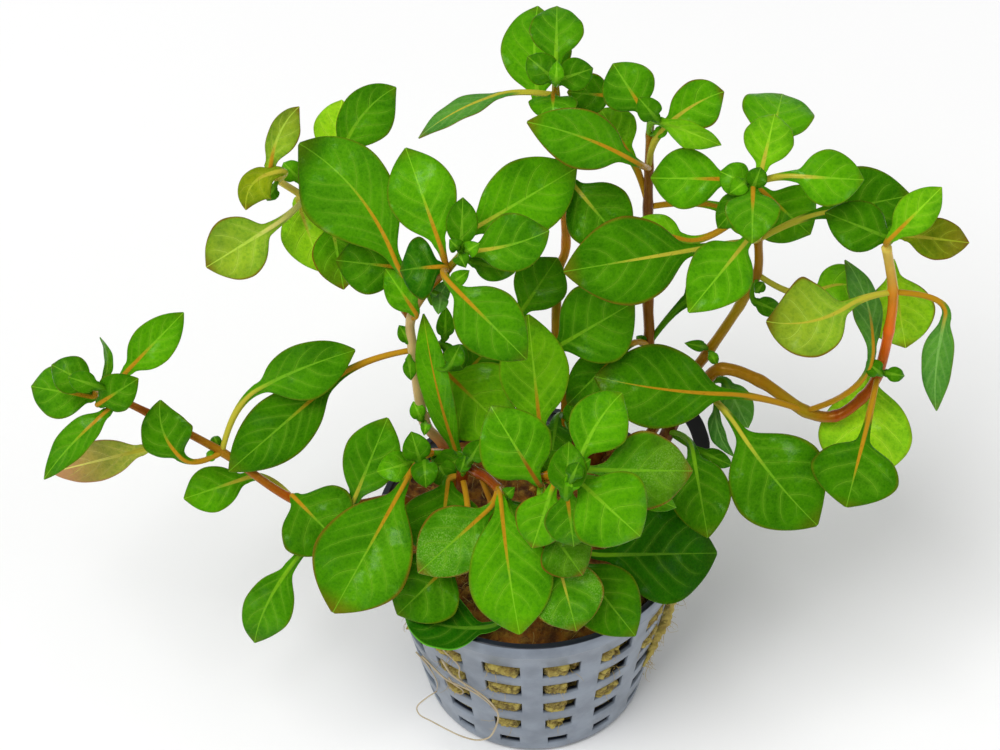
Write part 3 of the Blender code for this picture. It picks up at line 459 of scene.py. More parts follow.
stem_finish = Finish("stem_skin", roughness=0.24)
stem_tone, _ = stem_finish.stored("tone")
streaks = stem_finish.noise(grain=0.9 * MM, detail=4.0, places=stem_finish.stretched((1.0, 1.0, 0.3)))
blotches = stem_finish.noise(grain=4.0 * MM)
streaked = stem_finish.blend(stem_finish.ease(streaks, *STREAKS_SHOW), stem_tone, STREAK_TONE)
stem_finish.give("Base Color", stem_finish.blend(stem_finish.ease(blotches, *BLOTCHES_SHOW),
                                                 streaked, BLOTCH_TONE))
stem_finish.give("Specular IOR Level", 0.40)
stem_finish.give("Specular Tint", (1.0, 0.65, 0.25))
stem_finish.give("Subsurface Weight", 0.15)
stem_finish.give("Subsurface Scale", 1.0 * MM)
stem_finish.bump(streaks, distance=0.05 * MM)
print("stem material with", len(stem_finish.tree.nodes), "nodes")

# %% Stem surfaces
STEM_SIDES, STEM_STEPS = 16, 14
JOINT_SWELLING, JOINT_REACH = 0.14, 0.13
STEM_TIP_LENGTH, STEM_TIP_ROUNDING = 1.2, 0.98


def stem_mesh(name):
    """A tube along the joints. Its radius falls evenly from foot to tip, swells by a share of
    itself around each joint as a bell curve does, and closes in a round tip."""
    path = spline(joint_places(name), STEM_STEPS)
    t = np.linspace(0, 1, len(path))
    joint_count = len(STEMS[name].joints)
    foot, tip = STEMS[name].radii
    along = t * joint_count
    nearest = along.round()
    swelling = JOINT_SWELLING * bell((along - nearest) / JOINT_REACH) * (nearest > 0)
    to_tip = (1 - t) * joint_count * STEM_STEPS / STEM_TIP_LENGTH
    closing = np.sqrt(1 - np.clip(1 - to_tip, 0, STEM_TIP_ROUNDING)**2)
    radii = (foot + (tip - foot) * t) * (1 + swelling) * closing * MM
    mesh = skin(name, round_rings(path, radii, STEM_SIDES))
    store(mesh, "tone", np.repeat(colour_run(STEM_COLOURS[name], t)[:, None], STEM_SIDES, axis=1))
    return mesh


for stem_name in STEMS:
    made = stem_mesh(stem_name)
    finish_piece(f"{stem_name}_skin", made, stem_finish, "stem", stem_name)
    print(stem_name, len(made.vertices), "points")

# %% [markdown]
# ## Leaf rows
# Each leaf names the stem and joint it grows from, the foot and tip of its blade in the
# picture, how near those two are, and its width. Where it isn't an ordinary leaf, its row also
# says where along the blade it is widest, how its two halves fold, how its midrib bows sideways
# or arches, and how it turns about the midrib.

# %% Leaf rows
Leaf = namedtuple("Leaf", "stem joint foot tip near wide widest fold sway turn arch dried",
                  defaults=(0.45, 12, 0.0, 0, 1.0, False))
# A key leaves out the word leaf: low_left_1 is the leaf low_left_leaf_1
LEAVES = {
    "low_left_1": Leaf("lower_left_stem", 4, (258, 389), (357, 351), (12, 14), 10.2, 0.52, fold=18,
                       sway=-0.9, turn=14),
    "low_left_2": Leaf("left_stem", 3, (332, 382), (227, 473), (4.5, 2), 11, 0.5),
    "low_left_3": Leaf("lower_left_stem", 4, (181, 457), (160, 399), (11, 13), 9, 0.42, sway=-1, turn=-20),
    "low_left_4": Leaf("lower_left_stem", 3, (246, 478), (183, 499), (0, 0), 8, 0.55),
    "low_left_5": Leaf("lower_left_stem", 5, (142, 450), (48, 473), (4, 0), 6.8),
    "low_left_6": Leaf("lower_left_stem", 6, (107, 412), (43, 480), (13, 12), 6, turn=30),
    "low_left_7": Leaf("lower_left_stem", 6, (128, 370), (185, 311), (11, 10), 7.4, fold=20),
    "low_left_8": Leaf("lower_left_stem", 6, (100, 403), (139, 378), (15, 16), 6.5),
    "low_left_9": Leaf("lower_left_stem", 7, (91, 385), (50, 364), (15, 14), 6.4),
    "low_left_10": Leaf("lower_left_stem", 7, (92, 397), (29, 386), (10, 8), 9.2),
    "high_left_1": Leaf("upper_left_branch", 3, (270, 228), (205, 268), (14, 14), 10.8, 0.5),
    "high_left_2": Leaf("upper_left_branch", 5, (270, 166), (300, 106), (17, 15), 5.6, 0.5, fold=24,
                        sway=-1.2, turn=10),
    "high_left_3": Leaf("upper_left_branch", 4, (276, 172), (246, 211), (18, 18), 6.2, 0.5, fold=20,
                        sway=1.8),
    "high_left_4": Leaf("upper_left_branch", 3, (298, 202), (322, 273), (4, 4), 9.4),
    "high_left_5": Leaf("upper_left_branch", 2, (332, 224), (344, 291), (8.5, 7.5), 8.4),
    "high_left_6": Leaf("upper_left_branch", 2, (333, 160), (342, 98), (5, 2), 8),
    "high_left_7": Leaf("upper_left_branch", 2, (341, 154), (398, 86), (10, 7), 9.2, 0.5, fold=14,
                        sway=-1.4),
    "left_1": Leaf("left_stem", 5, (396, 262), (297, 142), (19, 15), 15.4, 0.56, fold=10, sway=2.2),
    "left_2": Leaf("left_stem", 5, (405, 268), (334, 260), (13, 13), 10.2, 0.5),
    "left_3": Leaf("left_stem", 6, (440, 245), (405, 146), (23, 20), 11.4, 0.5),
    "left_4": Leaf("left_stem", 6, (440, 267), (399, 271), (23, 22), 10.2, fold=5, turn=8),
    "left_5": Leaf("left_stem", 4, (415, 312), (385, 268), (15, 16), 5.4),
    "left_6": Leaf("left_stem", 1, (458, 455), (422, 314), (3, 19), 5.8, 0.62, fold=20, turn=-18, arch=2),
    "left_7": Leaf("left_stem", 3, (446, 372), (510, 434), (-1, -2), 15.4, fold=10),
    "left_8": Leaf("left_stem", 6, (455, 288), (528, 361), (30, 28), 11),
    "front_1": Leaf("front_stem", 2, (540, 428), (528, 313), (19, 20), 11.6, 0.5),
    "front_2": Leaf("front_stem", 2, (536, 480), (490, 405), (25, 27), 12.2),
    "left_9": Leaf("left_stem", 7, (470, 231), (580, 166), (20, 16), 12.8, 0.5),
    "left_10": Leaf("left_stem", 7, (474, 251), (550, 230), (26, 25), 9.6, 0.5, sway=0.6),
    "back_1": Leaf("back_stem", 2, (521, 312), (558, 257), (9, 9), 9.4, 0.55),
    "back_2": Leaf("back_stem", 2, (557, 347), (636, 301), (12, 12), 14.2, 0.5),
    "tall_1": Leaf("tall_stem", 2, (620, 352), (566, 406), (6, 5), 8),
    "left_11": Leaf("left_stem", 2, (466, 374), (502, 332), (-1, -1), 7),
    "right_1": Leaf("right_stem", 5, (692, 250), (562, 272), (22, 24), 14.6, 0.5, fold=10),
    "back_3": Leaf("back_stem", 5, (573, 184), (628, 250), (10, 11), 11.8, 0.48),
    "right_2": Leaf("right_stem", 5, (745, 243), (688, 313), (23, 28), 10.6),
    "right_3": Leaf("right_stem", 7, (727, 179), (649, 178), (18, 16.5), 10.2, 0.55),
    "tall_2": Leaf("tall_stem", 4, (725, 209), (768, 226), (6, 5), 6),
    "right_4": Leaf("right_stem", 6, (682, 239), (628, 224), (13, 13), 6),
    "back_4": Leaf("back_stem", 6, (538, 98), (538, 3), (9, 3), 12, sway=-0.6),
    "back_5": Leaf("back_stem", 7, (556, 60), (557, 4), (15.5, 12), 9),
    "tall_3": Leaf("tall_stem", 5, (628, 158), (526, 122), (19, 24), 9.8, 0.5, sway=0.7),
    "tall_4": Leaf("tall_stem", 4, (628, 152), (600, 108), (11, 8), 8),
    "back_6": Leaf("back_stem", 6, (553, 96), (553, 124), (15, 17), 8),
    "back_7": Leaf("back_stem", 6, (500, 95), (417, 138), (13, 15), 5.5, turn=50),
    "tall_5": Leaf("tall_stem", 7, (612, 96), (566, 92), (13, 12), 6.8),
    "tall_6": Leaf("tall_stem", 7, (643, 110), (612, 62), (18, 18), 9),
    "tall_7": Leaf("tall_stem", 5, (668, 124), (726, 91), (18, 18), 8.2, 0.55, sway=-0.6),
    "tall_8": Leaf("tall_stem", 6, (662, 122), (722, 147), (20, 20), 5.2, 0.5, fold=16, sway=-0.9, turn=30),
    "right_5": Leaf("right_stem", 7, (769, 147), (783, 91), (15, 6), 12.4, 0.55),
    "right_6": Leaf("right_stem", 7, (762, 168), (775, 113), (22, 18), 8.2),
    "right_7": Leaf("right_stem", 7, (795, 176), (866, 180), (22, 22), 9.2),
    "right_8": Leaf("right_stem", 7, (753, 192), (752, 244), (26, 30), 8.8),
    "right_9": Leaf("right_stem", 6, (766, 194), (811, 235), (4, 1.6), 11.6),
    "right_10": Leaf("right_stem", 5, (822, 213), (912, 195), (12, 13), 13),
    "bowed_1": Leaf("bowed_stem", 11, (893, 236), (943, 186), (26, 25), 6.4),
    "bowed_2": Leaf("bowed_stem", 11, (905, 235), (971, 243), (20, 18), 6.8),
    "bowed_3": Leaf("bowed_stem", 10, (848, 306), (765, 321), (18, 18), 13.6, 0.5, fold=14, sway=-1.4),
    "bowed_4": Leaf("bowed_stem", 10, (946, 318), (934, 413), (14, 12), 6, turn=30),
    "bowed_5": Leaf("bowed_stem", 10, (893, 272), (906, 349), (3, 0), 12.2, 0.5, fold=14),
    "right_11": Leaf("right_stem", 4, (817, 291), (866, 292), (5, 5), 9.2, fold=26, sway=-1.2),
    "bowed_6": Leaf("bowed_stem", 5, (872, 352), (846, 258), (15, 15), 6.4, 0.5, sway=0.8, turn=42),
    "bowed_7": Leaf("bowed_stem", 8, (869, 376), (862, 485), (-1, -1.5), 16.2, 0.55),
    "bowed_8": Leaf("bowed_stem", 8, (864, 438), (846, 508), (12, 15), 15, 0.55),
    "bowed_9": Leaf("bowed_stem", 5, (725, 394), (593, 376), (11, 13), 14.2, 0.55, fold=10, sway=-0.6),
    "low_right_1": Leaf("bowed_stem", 2, (739, 430), (819, 527), (10, 13), 17, 0.52, sway=0.6),
    "low_right_2": Leaf("bowed_stem", 1, (693, 452), (708, 538), (7, 15), 10.4, 0.56),
    "low_right_3": Leaf("front_stem", 1, (604, 555), (720, 553), (15, 11), 16.8, 0.5),
    "front_3": Leaf("front_stem", 4, (581, 456), (624, 391), (38, 36), 9.6, sway=-0.7),
    "front_4": Leaf("front_stem", 4, (600, 470), (695, 471), (35, 31), 12.6, 0.42),
    "front_5": Leaf("front_stem", 4, (580, 482), (642, 538), (40, 38), 13.6),
    "front_6": Leaf("front_stem", 3, (551, 492), (532, 549), (34, 32), 8.6),
    "front_7": Leaf("front_stem", 3, (567, 494), (574, 548), (36, 34), 8.2),
    "front_8": Leaf("front_stem", 2, (552, 533), (583, 576), (29, 29), 9),
    "front_9": Leaf("front_stem", 2, (556, 554), (577, 633), (25, 24), 12.2, 0.5),
    "front_10": Leaf("front_stem", 1, (578, 564), (637, 638), (21, 21), 11.4),
    "fore_left_1": Leaf("fore_left_stem", 3, (501, 502), (520, 636), (27, 26), 13.8, 0.58, fold=10,
                        sway=0.3),
    "fore_left_2": Leaf("fore_left_stem", 3, (488, 510), (417, 574), (25, 23), 11.4),
    "fore_left_3": Leaf("fore_left_stem", 1, (448, 482), (438, 562), (10.4, 9.2), 15, 0.5, fold=10),
    "fore_left_4": Leaf("left_side_branch", 2, (402, 488), (332, 614), (18, 21), 16.4, 0.6, fold=10),
    "fore_left_5": Leaf("fore_left_stem", 1, (452, 562), (396, 616), (17, 16), 13),
    "fore_left_6": Leaf("fore_left_stem", 2, (484, 628), (404, 612), (15, 14.5), 10.6, 0.5, sway=-1.4,
                        turn=20),
    "low_left_11": Leaf("lower_left_stem", 2, (290, 567), (254, 645), (8, 2), 8.4, 0.5, sway=0.9),
    "low_left_12": Leaf("lower_left_stem", 3, (294, 497), (345, 549), (7, 10), 14.4, 0.5, fold=14),
    "low_left_13": Leaf("lower_left_stem", 2, (354, 500), (388, 417), (9, 13), 9.6, 0.58),
}
print(len(LEAVES), "leaves")

# %% [markdown]
# The youngest leaves, those in the axils and the buds are small and many. They have no name
# of their own and are made in the same way, then joined into one piece for each stem.

# %% Small leaf rows
SMALL_LEAVES = (
    Leaf("lower_left_stem", 7, (102, 383), (101, 336), (14, 13), 3.2, turn=60),
    Leaf("lower_left_stem", 7, (97, 386), (68, 377), (18, 18), 3.8),
    Leaf("upper_left_branch", 4, (274, 187), (267, 201), (12, 12), 2.8),
    Leaf("upper_left_branch", 3, (299, 179), (283, 162), (8, 8), 4),
    Leaf("left_stem", 7, (461, 248), (463, 196), (27, 26), 5.4),
    Leaf("left_stem", 7, (474, 262), (516, 273), (21, 21), 5),
    Leaf("left_stem", 7, (467, 251), (480, 243), (28, 29), 2.8),
    Leaf("left_stem", 7, (460, 256), (466, 268), (28, 29), 2.8),
    Leaf("left_stem", 7, (458, 248), (449, 239), (28, 29), 2.6),
    Leaf("left_stem", 6, (452, 283), (470, 270), (24, 25), 2.6),
    Leaf("left_stem", 5, (441, 296), (438, 315), (17, 18), 2.8),
    Leaf("left_stem", 3, (450, 366), (460, 345), (13, 13), 3.8),
    Leaf("left_stem", 2, (421, 419), (413, 401), (4, 4), 2.8),
    Leaf("fore_left_stem", 1, (470, 460), (482, 439), (20, 21), 3.8),
    Leaf("fore_left_stem", 1, (466, 457), (460, 473), (17, 17), 2.8),
    Leaf("fore_left_stem", 4, (508, 504), (520, 531), (21, 21), 4.4),
    Leaf("left_side_branch", 2, (420, 461), (411, 431), (17, 18), 5),
    Leaf("left_side_branch", 2, (424, 461), (426, 488), (17, 18), 4.8),
    Leaf("left_side_branch", 2, (410, 463), (376, 472), (14, 15.5), 5.6),
    Leaf("left_side_branch", 1, (436, 461), (451, 486), (7, 7), 5),
    Leaf("front_stem", 4, (566, 494), (569, 441), (43, 43), 6.4),
    Leaf("front_stem", 3, (628, 488), (677, 508), (26, 24), 4.2),
    Leaf("front_stem", 4, (579, 467), (591, 459), (43, 44), 2.8),
    Leaf("front_stem", 4, (570, 470), (556, 481), (43, 43), 2.6),
    Leaf("front_stem", 4, (576, 475), (569, 491), (43, 43), 2.8),
    Leaf("back_stem", 7, (554, 79), (527, 56), (19.5, 20), 5.6),
    Leaf("back_stem", 7, (558, 80), (594, 68), (19.5, 19), 5.8),
    Leaf("back_stem", 7, (556, 82), (557, 60), (22, 23), 2.6),
    Leaf("tall_stem", 7, (656, 118), (638, 97), (21, 22), 4.2),
    Leaf("tall_stem", 2, (685, 302), (735, 262), (3, 4), 6),
    Leaf("right_stem", 7, (747, 184), (719, 171), (22, 22), 5.8),
    Leaf("right_stem", 7, (753, 188), (761, 167), (25, 25), 3.6),
    Leaf("right_stem", 7, (745, 196), (717, 229), (19, 19), 5.6),
    Leaf("right_stem", 7, (745, 182), (730, 193), (25, 25), 3.2),
    Leaf("right_stem", 4, (756, 302), (783, 313), (4, 4), 3.4),
    Leaf("bowed_stem", 8, (886, 373), (905, 376), (11, 11), 2.6),
    Leaf("bowed_stem", 11, (889, 238), (824, 212), (20, 19), 9),
    Leaf("bowed_stem", 11, (891, 237), (897, 224), (25, 25), 2.2),
    Leaf("bowed_stem", 2, (716, 406), (733, 458), (3, 4), 4.4, turn=50),
    Leaf("bowed_stem", 2, (726, 383), (749, 429), (-1, -1), 6),
    Leaf("bowed_stem", 1, (702, 452), (733, 466), (1, 1), 3.2),
    Leaf("lower_left_stem", 4, (218, 447), (214, 436), (5, 4.5), 1.9),
    Leaf("lower_left_stem", 4, (215, 455), (206, 457), (7, 7), 1.9),
    Leaf("left_stem", 3, (409, 342), (399, 325), (10, 10), 2.4),
    Leaf("left_stem", 3, (409, 359), (411, 381), (9, 9), 2.4),
    Leaf("left_stem", 2, (426, 424), (424, 436), (5, 6), 1.8),
    Leaf("fore_left_stem", 4, (507, 494), (515, 487), (27, 28), 2.2),
    Leaf("tall_stem", 2, (645, 343), (636, 336), (-1, -1), 1.8),
    Leaf("tall_stem", 6, (655, 134), (668, 129), (15, 15), 2),
    Leaf("right_stem", 4, (757, 291), (764, 282), (6, 6), 2),
    Leaf("right_stem", 2, (705, 347), (684, 343), (0, 1), 2),
    Leaf("right_stem", 2, (711, 353), (717, 365), (0, 0), 1.8),
    Leaf("bowed_stem", 8, (880, 373), (866, 361), (12, 12), 3.2),
    Leaf("back_stem", 1, (556, 423), (550, 466), (3, 5), 6.6),
    Leaf("back_stem", 1, (574, 428), (586, 398), (0, 0), 6),
    Leaf("left_side_branch", 1, (462, 458), (430, 475), (6, 7), 5.6),
    Leaf("fore_left_stem", 2, (504, 500), (518, 540), (18, 17), 7.5),
    Leaf("front_stem", 2, (546, 480), (558, 450), (21, 21), 6),
    Leaf("front_stem", 4, (572, 478), (579, 462), (46, 46), 3),
    Leaf("left_stem", 3, (447, 348), (464, 370), (9, 9), 5.4),
    Leaf("front_stem", 2, (536, 477), (524, 473), (21.5, 22), 1.6, dried=True),
    Leaf("front_stem", 2, (537, 484), (529, 490), (21, 21), 1.5, dried=True),
    Leaf("front_stem", 2, (547, 477), (556, 484), (22, 22.5), 1.6, dried=True),
    Leaf("left_stem", 3, (445, 337), (446, 306), (6, 8), 3.2),
    Leaf("left_stem", 5, (434, 303), (450, 279), (13, 15), 3.4),
)
print(len(SMALL_LEAVES), "small leaves")

# %% [markdown]
# ## Leaf surfaces
# A leaf is a round stalk that flattens into a blade. The path is the stalk's arc and then the
# midrib; across it, each ring runs over the top of the blade and back underneath, so the leaf
# is one closed skin. The blade's form is a sum of simple ones: a fold along the midrib, a bend
# of the margins, which follow the midrib's sideways bow half the way, ripples, the bulges of
# the blade between its side veins, and the midrib's thickness, which stands out mostly
# underneath, as on the real leaf.

# %% Leaf outline and path
STALK_BEND = 0.4
BLUNT_TIP = 0.990
TIP_POWER, BASE_POWER = 2.0, 1.75
FOOT_HOLLOW, FOOT_REACH = 0.75, 0.26


def outline(t, widest):
    """Half the blade's width as a share of its greatest: one minus a power of the distance from
    the widest place, so that the foot and the tip are blunt points. A bell curve hollows the
    sides beside the foot, where the blade runs down into the stalk."""
    towards_foot = 1 - np.clip((widest - t) / widest, 0, 1)**BASE_POWER
    towards_foot = towards_foot * (1 - FOOT_HOLLOW * bell(t / widest / FOOT_REACH))
    towards_tip = 1 - np.clip((t - widest) / (1 - widest), 0, 1)**TIP_POWER
    return np.where(t < widest, towards_foot, towards_tip)


def leaf_path(leaf, stalk_steps, blade_steps):
    """The share along, from -1 to 0 on the stalk and to 1 on the blade, with the path and its
    right and face directions there, and the blade's length and width (mm). The stalk is a
    parabola's arc, and the midrib a straight line that is bowed as a parabola."""
    shift = upright_shift(STEMS[leaf.stem].joints[leaf.joint - 1][1])
    start = joint_places(leaf.stem)[leaf.joint]
    foot, tip = sighted(*leaf.foot, leaf.near[0] + shift), sighted(*leaf.tip, leaf.near[1] + shift)
    wide = leaf.wide * (1 - shift * MM / EYE_DISTANCE)
    length = np.linalg.norm(tip - foot) / MM
    along = unit(tip - foot)
    to_eye = unit(EYE - (foot + tip) / 2)
    face = unit(to_eye - along * (to_eye @ along))
    side = np.cross(along, face)
    turn = math.radians(leaf.turn)
    face, side = face * math.cos(turn) + side * math.sin(turn), side * math.cos(turn) - face * math.sin(turn)
    bow = (face * leaf.arch + side * leaf.sway) * MM

    t = np.linspace(0, 1, blade_steps + 1)[1:, None]
    t[-1] = BLUNT_TIP
    blade = foot + (tip - foot) * t + 4 * t * (1 - t) * bow
    handle = foot - unit(tip - foot + 4 * bow) * np.linalg.norm(foot - start) * STALK_BEND
    q = np.linspace(0, 1, stalk_steps + 1)[:, None]
    stalk = (1 - q)**2 * start + 2 * q * (1 - q) * handle + q**2 * foot
    path = np.vstack((stalk, blade))
    right, faces = carried_frame(path, face)
    t = np.concatenate((q[:, 0] - 1, t[:, 0]))[:, None]
    return t, path, right, faces, length, wide


print("half widths along a leaf:", outline(np.linspace(0, 1, 6), 0.45).round(2))

# %% Leaf heights
SIDE_VEIN_LEAN, SIDE_VEIN_BEND, VEIN_OFFSET = 0.22, 0.16, 0.4
FEWEST_VEINS, MOST_VEINS, VEIN_START, VEIN_PITCH = 3, 7, 1.6, 4.6
QUILT_DEPTH, QUILT_ROUNDING, QUILT_FROM_RIB, QUILT_END, QUILT_FADE = 0.025, 0.7, 1.2, 0.7, 0.25
FLATTENING = 0.18
FOLD_CHANGE, FOLD_ROUNDING = 6, 0.6
DROOP, WAVES, RIPPLE, OTHER_SIDE, RECURVE = (0.02, 0.10), (2.0, 3.4), 0.050, 2.2, (0.010, 0.060)


def vein_count(length):
    """The side veins to each half of a blade, more on a longer one."""
    return np.clip(round(VEIN_START + length / VEIN_PITCH), FEWEST_VEINS, MOST_VEINS)


def flatness(t):
    """0 on the stalk, rising smoothly to 1 a little way up the blade: 3 f squared less 2 f cubed."""
    flat = np.clip(t / FLATTENING, 0, 1)
    return flat * flat * (3 - 2 * flat)


def blade_height(leaf, t, s, half, length, wide, chance):
    """How high (mm) the blade lies over its flat plan at a share along t and a share across s.
    It is the sum of the quilting, which is the size of a sine with a zero on each side vein, the
    fold, a straight slope with a round bottom, the droop of the margins as the cube of s, a
    ripple of them, and the tip's curl as the fourth power of t."""
    on_blade, x, veins = np.clip(t, 0, 1), half * s, vein_count(length)
    phase = veins * (t - SIDE_VEIN_LEAN * abs(s) - SIDE_VEIN_BEND * s**2) + VEIN_OFFSET * (s > 0)
    quilt = QUILT_DEPTH * max(wide - 2, 0) * abs(np.sin(np.pi * phase))**QUILT_ROUNDING
    quilt = quilt * np.clip(abs(x) / QUILT_FROM_RIB, 0, 1) * (1 - abs(s)**3)
    quilt = quilt * (1 - np.clip((on_blade - QUILT_END) / QUILT_FADE, 0, 1))
    fold = math.tan(math.radians(leaf.fold + chance.uniform(-FOLD_CHANGE, FOLD_CHANGE)))
    folded = fold * (np.sqrt(x**2 + FOLD_ROUNDING**2) - FOLD_ROUNDING)
    droop = -chance.uniform(*DROOP) * half * s**2 * abs(s)
    waves, start_wave = chance.uniform(*WAVES), chance.uniform(0, 2 * np.pi)
    ripple = RIPPLE * half * s**2 * np.sin(2 * np.pi * waves * t + start_wave + OTHER_SIDE * (s > 0))
    recurve = -chance.uniform(*RECURVE) * length * on_blade**4
    return (quilt + folded + droop + ripple) * flatness(on_blade) + recurve


print("side veins:", [int(vein_count(length)) for length in (5, 10, 20)])

# %% Leaf rings
STALK_HALF, SLIM_WIDTH, SLIM_STALK, SLIM_BLADE = 0.48, 6, 0.45, 0.7
WING, WING_REACH, WING_THICKNESS = 1.1, 0.30, 0.10
RIB_HEIGHT, RIB_HALF, RIB_FALL, RIB_OVER = 0.34, 0.55, 1.3, 0.3
BLADE_HALF_THICKNESS, EDGE_ROUNDING, STALK_DEPTH = 0.13, 0.3, 0.85
MARGIN_SWAY = 0.5


def leaf_rings(leaf, seed, fineness):
    """Rings along a leaf, and for each point its share across, share along, distance from the
    midrib (mm) and whether it is underneath, with the number of side veins and their spacing.
    The points are spaced across as a sine, closest at the margins. Over and under the blade's
    plan lie a rod's thickness on the stalk, and on the blade a sheet's and the midrib's."""
    stalk_steps, blade_steps, across_steps = fineness
    t, path, right, faces, length, wide = leaf_path(leaf, stalk_steps, blade_steps)
    on_blade = np.clip(t, 0, 1)
    flat = flatness(on_blade)
    slim = min(1.0, leaf.wide / SLIM_WIDTH)
    stalk_half = STALK_HALF * (SLIM_STALK + (1 - SLIM_STALK) * slim)
    winged = stalk_half * (1 + WING * np.exp(np.minimum(t, 0) / WING_REACH))
    half = wide / 2 * outline(on_blade, leaf.widest) * (t > 0) + winged * (1 - on_blade)**3
    s = np.sin(np.linspace(-1, 1, across_steps) * np.pi / 2)[None, :]
    x = half * s
    height = blade_height(leaf, t, s, half, length, wide, np.random.default_rng(seed))

    rib = RIB_HEIGHT * (1 - on_blade)**RIB_FALL * slim * bell(x / RIB_HALF)
    sheet = BLADE_HALF_THICKNESS * (SLIM_BLADE + (1 - SLIM_BLADE) * slim)
    sheet = sheet * np.clip(1 - s**2, 0, 1)**EDGE_ROUNDING
    rod = (STALK_DEPTH * np.sqrt(np.maximum(stalk_half**2 - x**2, 0))
           + WING_THICKNESS * np.sqrt(np.clip(1 - s**2, 0, 1)))
    over = rod * (1 - flat) + (sheet + RIB_OVER * rib) * flat
    under = rod * (1 - flat) + (sheet + rib) * flat
    drift = MARGIN_SWAY * leaf.sway * 4 * on_blade * (1 - on_blade) * s**2
    spread = x * (1 - flat * (1 - math.cos(math.radians(leaf.fold)))) - drift
    top, low = (path[:, None] + (right[:, None] * spread[..., None] + faces[:, None] * level[..., None]) * MM
                for level in (height + over, height - under))

    back = slice(-2, 0, -1)
    rings = np.concatenate((top, low[:, back]), axis=1)
    ring_s = np.concatenate((s, s[:, back]), axis=1)
    veins = vein_count(length)
    underneath = np.concatenate((np.zeros(across_steps), np.ones(across_steps - 2)))[None, :]
    return rings, stacked(ring_s, t, half * ring_s), stacked(float(veins) + 0 * t, length / veins, underneath)


print("first ring of a leaf:", leaf_rings(LEAVES["left_1"], 0, (2, 6, 5))[0].shape)

# %% [markdown]
# ## Leaf colours
# No two leaves are the same green, and the tones also hold painted light and shade: a leaf in
# full light is given a brighter green, one deep in the plant a darker one. The leaves at the
# rim of the plant turn yellow or olive, with a reddish margin. Each leaf gets a look: the tone
# of its blade, the colour of its stalk and how far that runs up the midrib, how strongly its
# margin is coloured and with what, how far the margin's colour blushes over the tip, and how
# many pale specks paint a silvery sheen over the blade.

# %% Looks
# bright, mid, leaf, deep and dark are one green with painted light and shade in it: brighter for leaves in
# full light, darker for leaves in the plant's shade
TONES = {
    "bright": (0.125, 0.385, 0.004), "mid": (0.072, 0.290, 0.002), "leaf": (0.050, 0.220, 0.002),
    "deep": (0.034, 0.165, 0.001), "dark": (0.010, 0.098, 0.001), "lime": (0.27, 0.57, 0.012),
    "olive": (0.18, 0.26, 0.006), "pale_olive": (0.21, 0.37, 0.020), "bluish": (0.070, 0.235, 0.030),
    "rosy": (0.40, 0.44, 0.060), "dried": (0.34, 0.14, 0.020),
}
RIBS = {"orange": (0.46, 0.23, 0.010), "yellow": (0.46, 0.42, 0.035), "green": (0.17, 0.40, 0.010),
        "brown": (0.28, 0.115, 0.008), "pale": (0.62, 0.60, 0.15), "young": (0.075, 0.24, 0.004)}
EDGES = {"red": (0.17, 0.060, 0.006), "green": (0.12, 0.42, 0.03), "pink": (0.40, 0.15, 0.10)}

Look = namedtuple("Look", "tone rib reach margin edge blush frost",
                  defaults=("orange", 0.40, 0.35, "red", 0.0, 0.0))
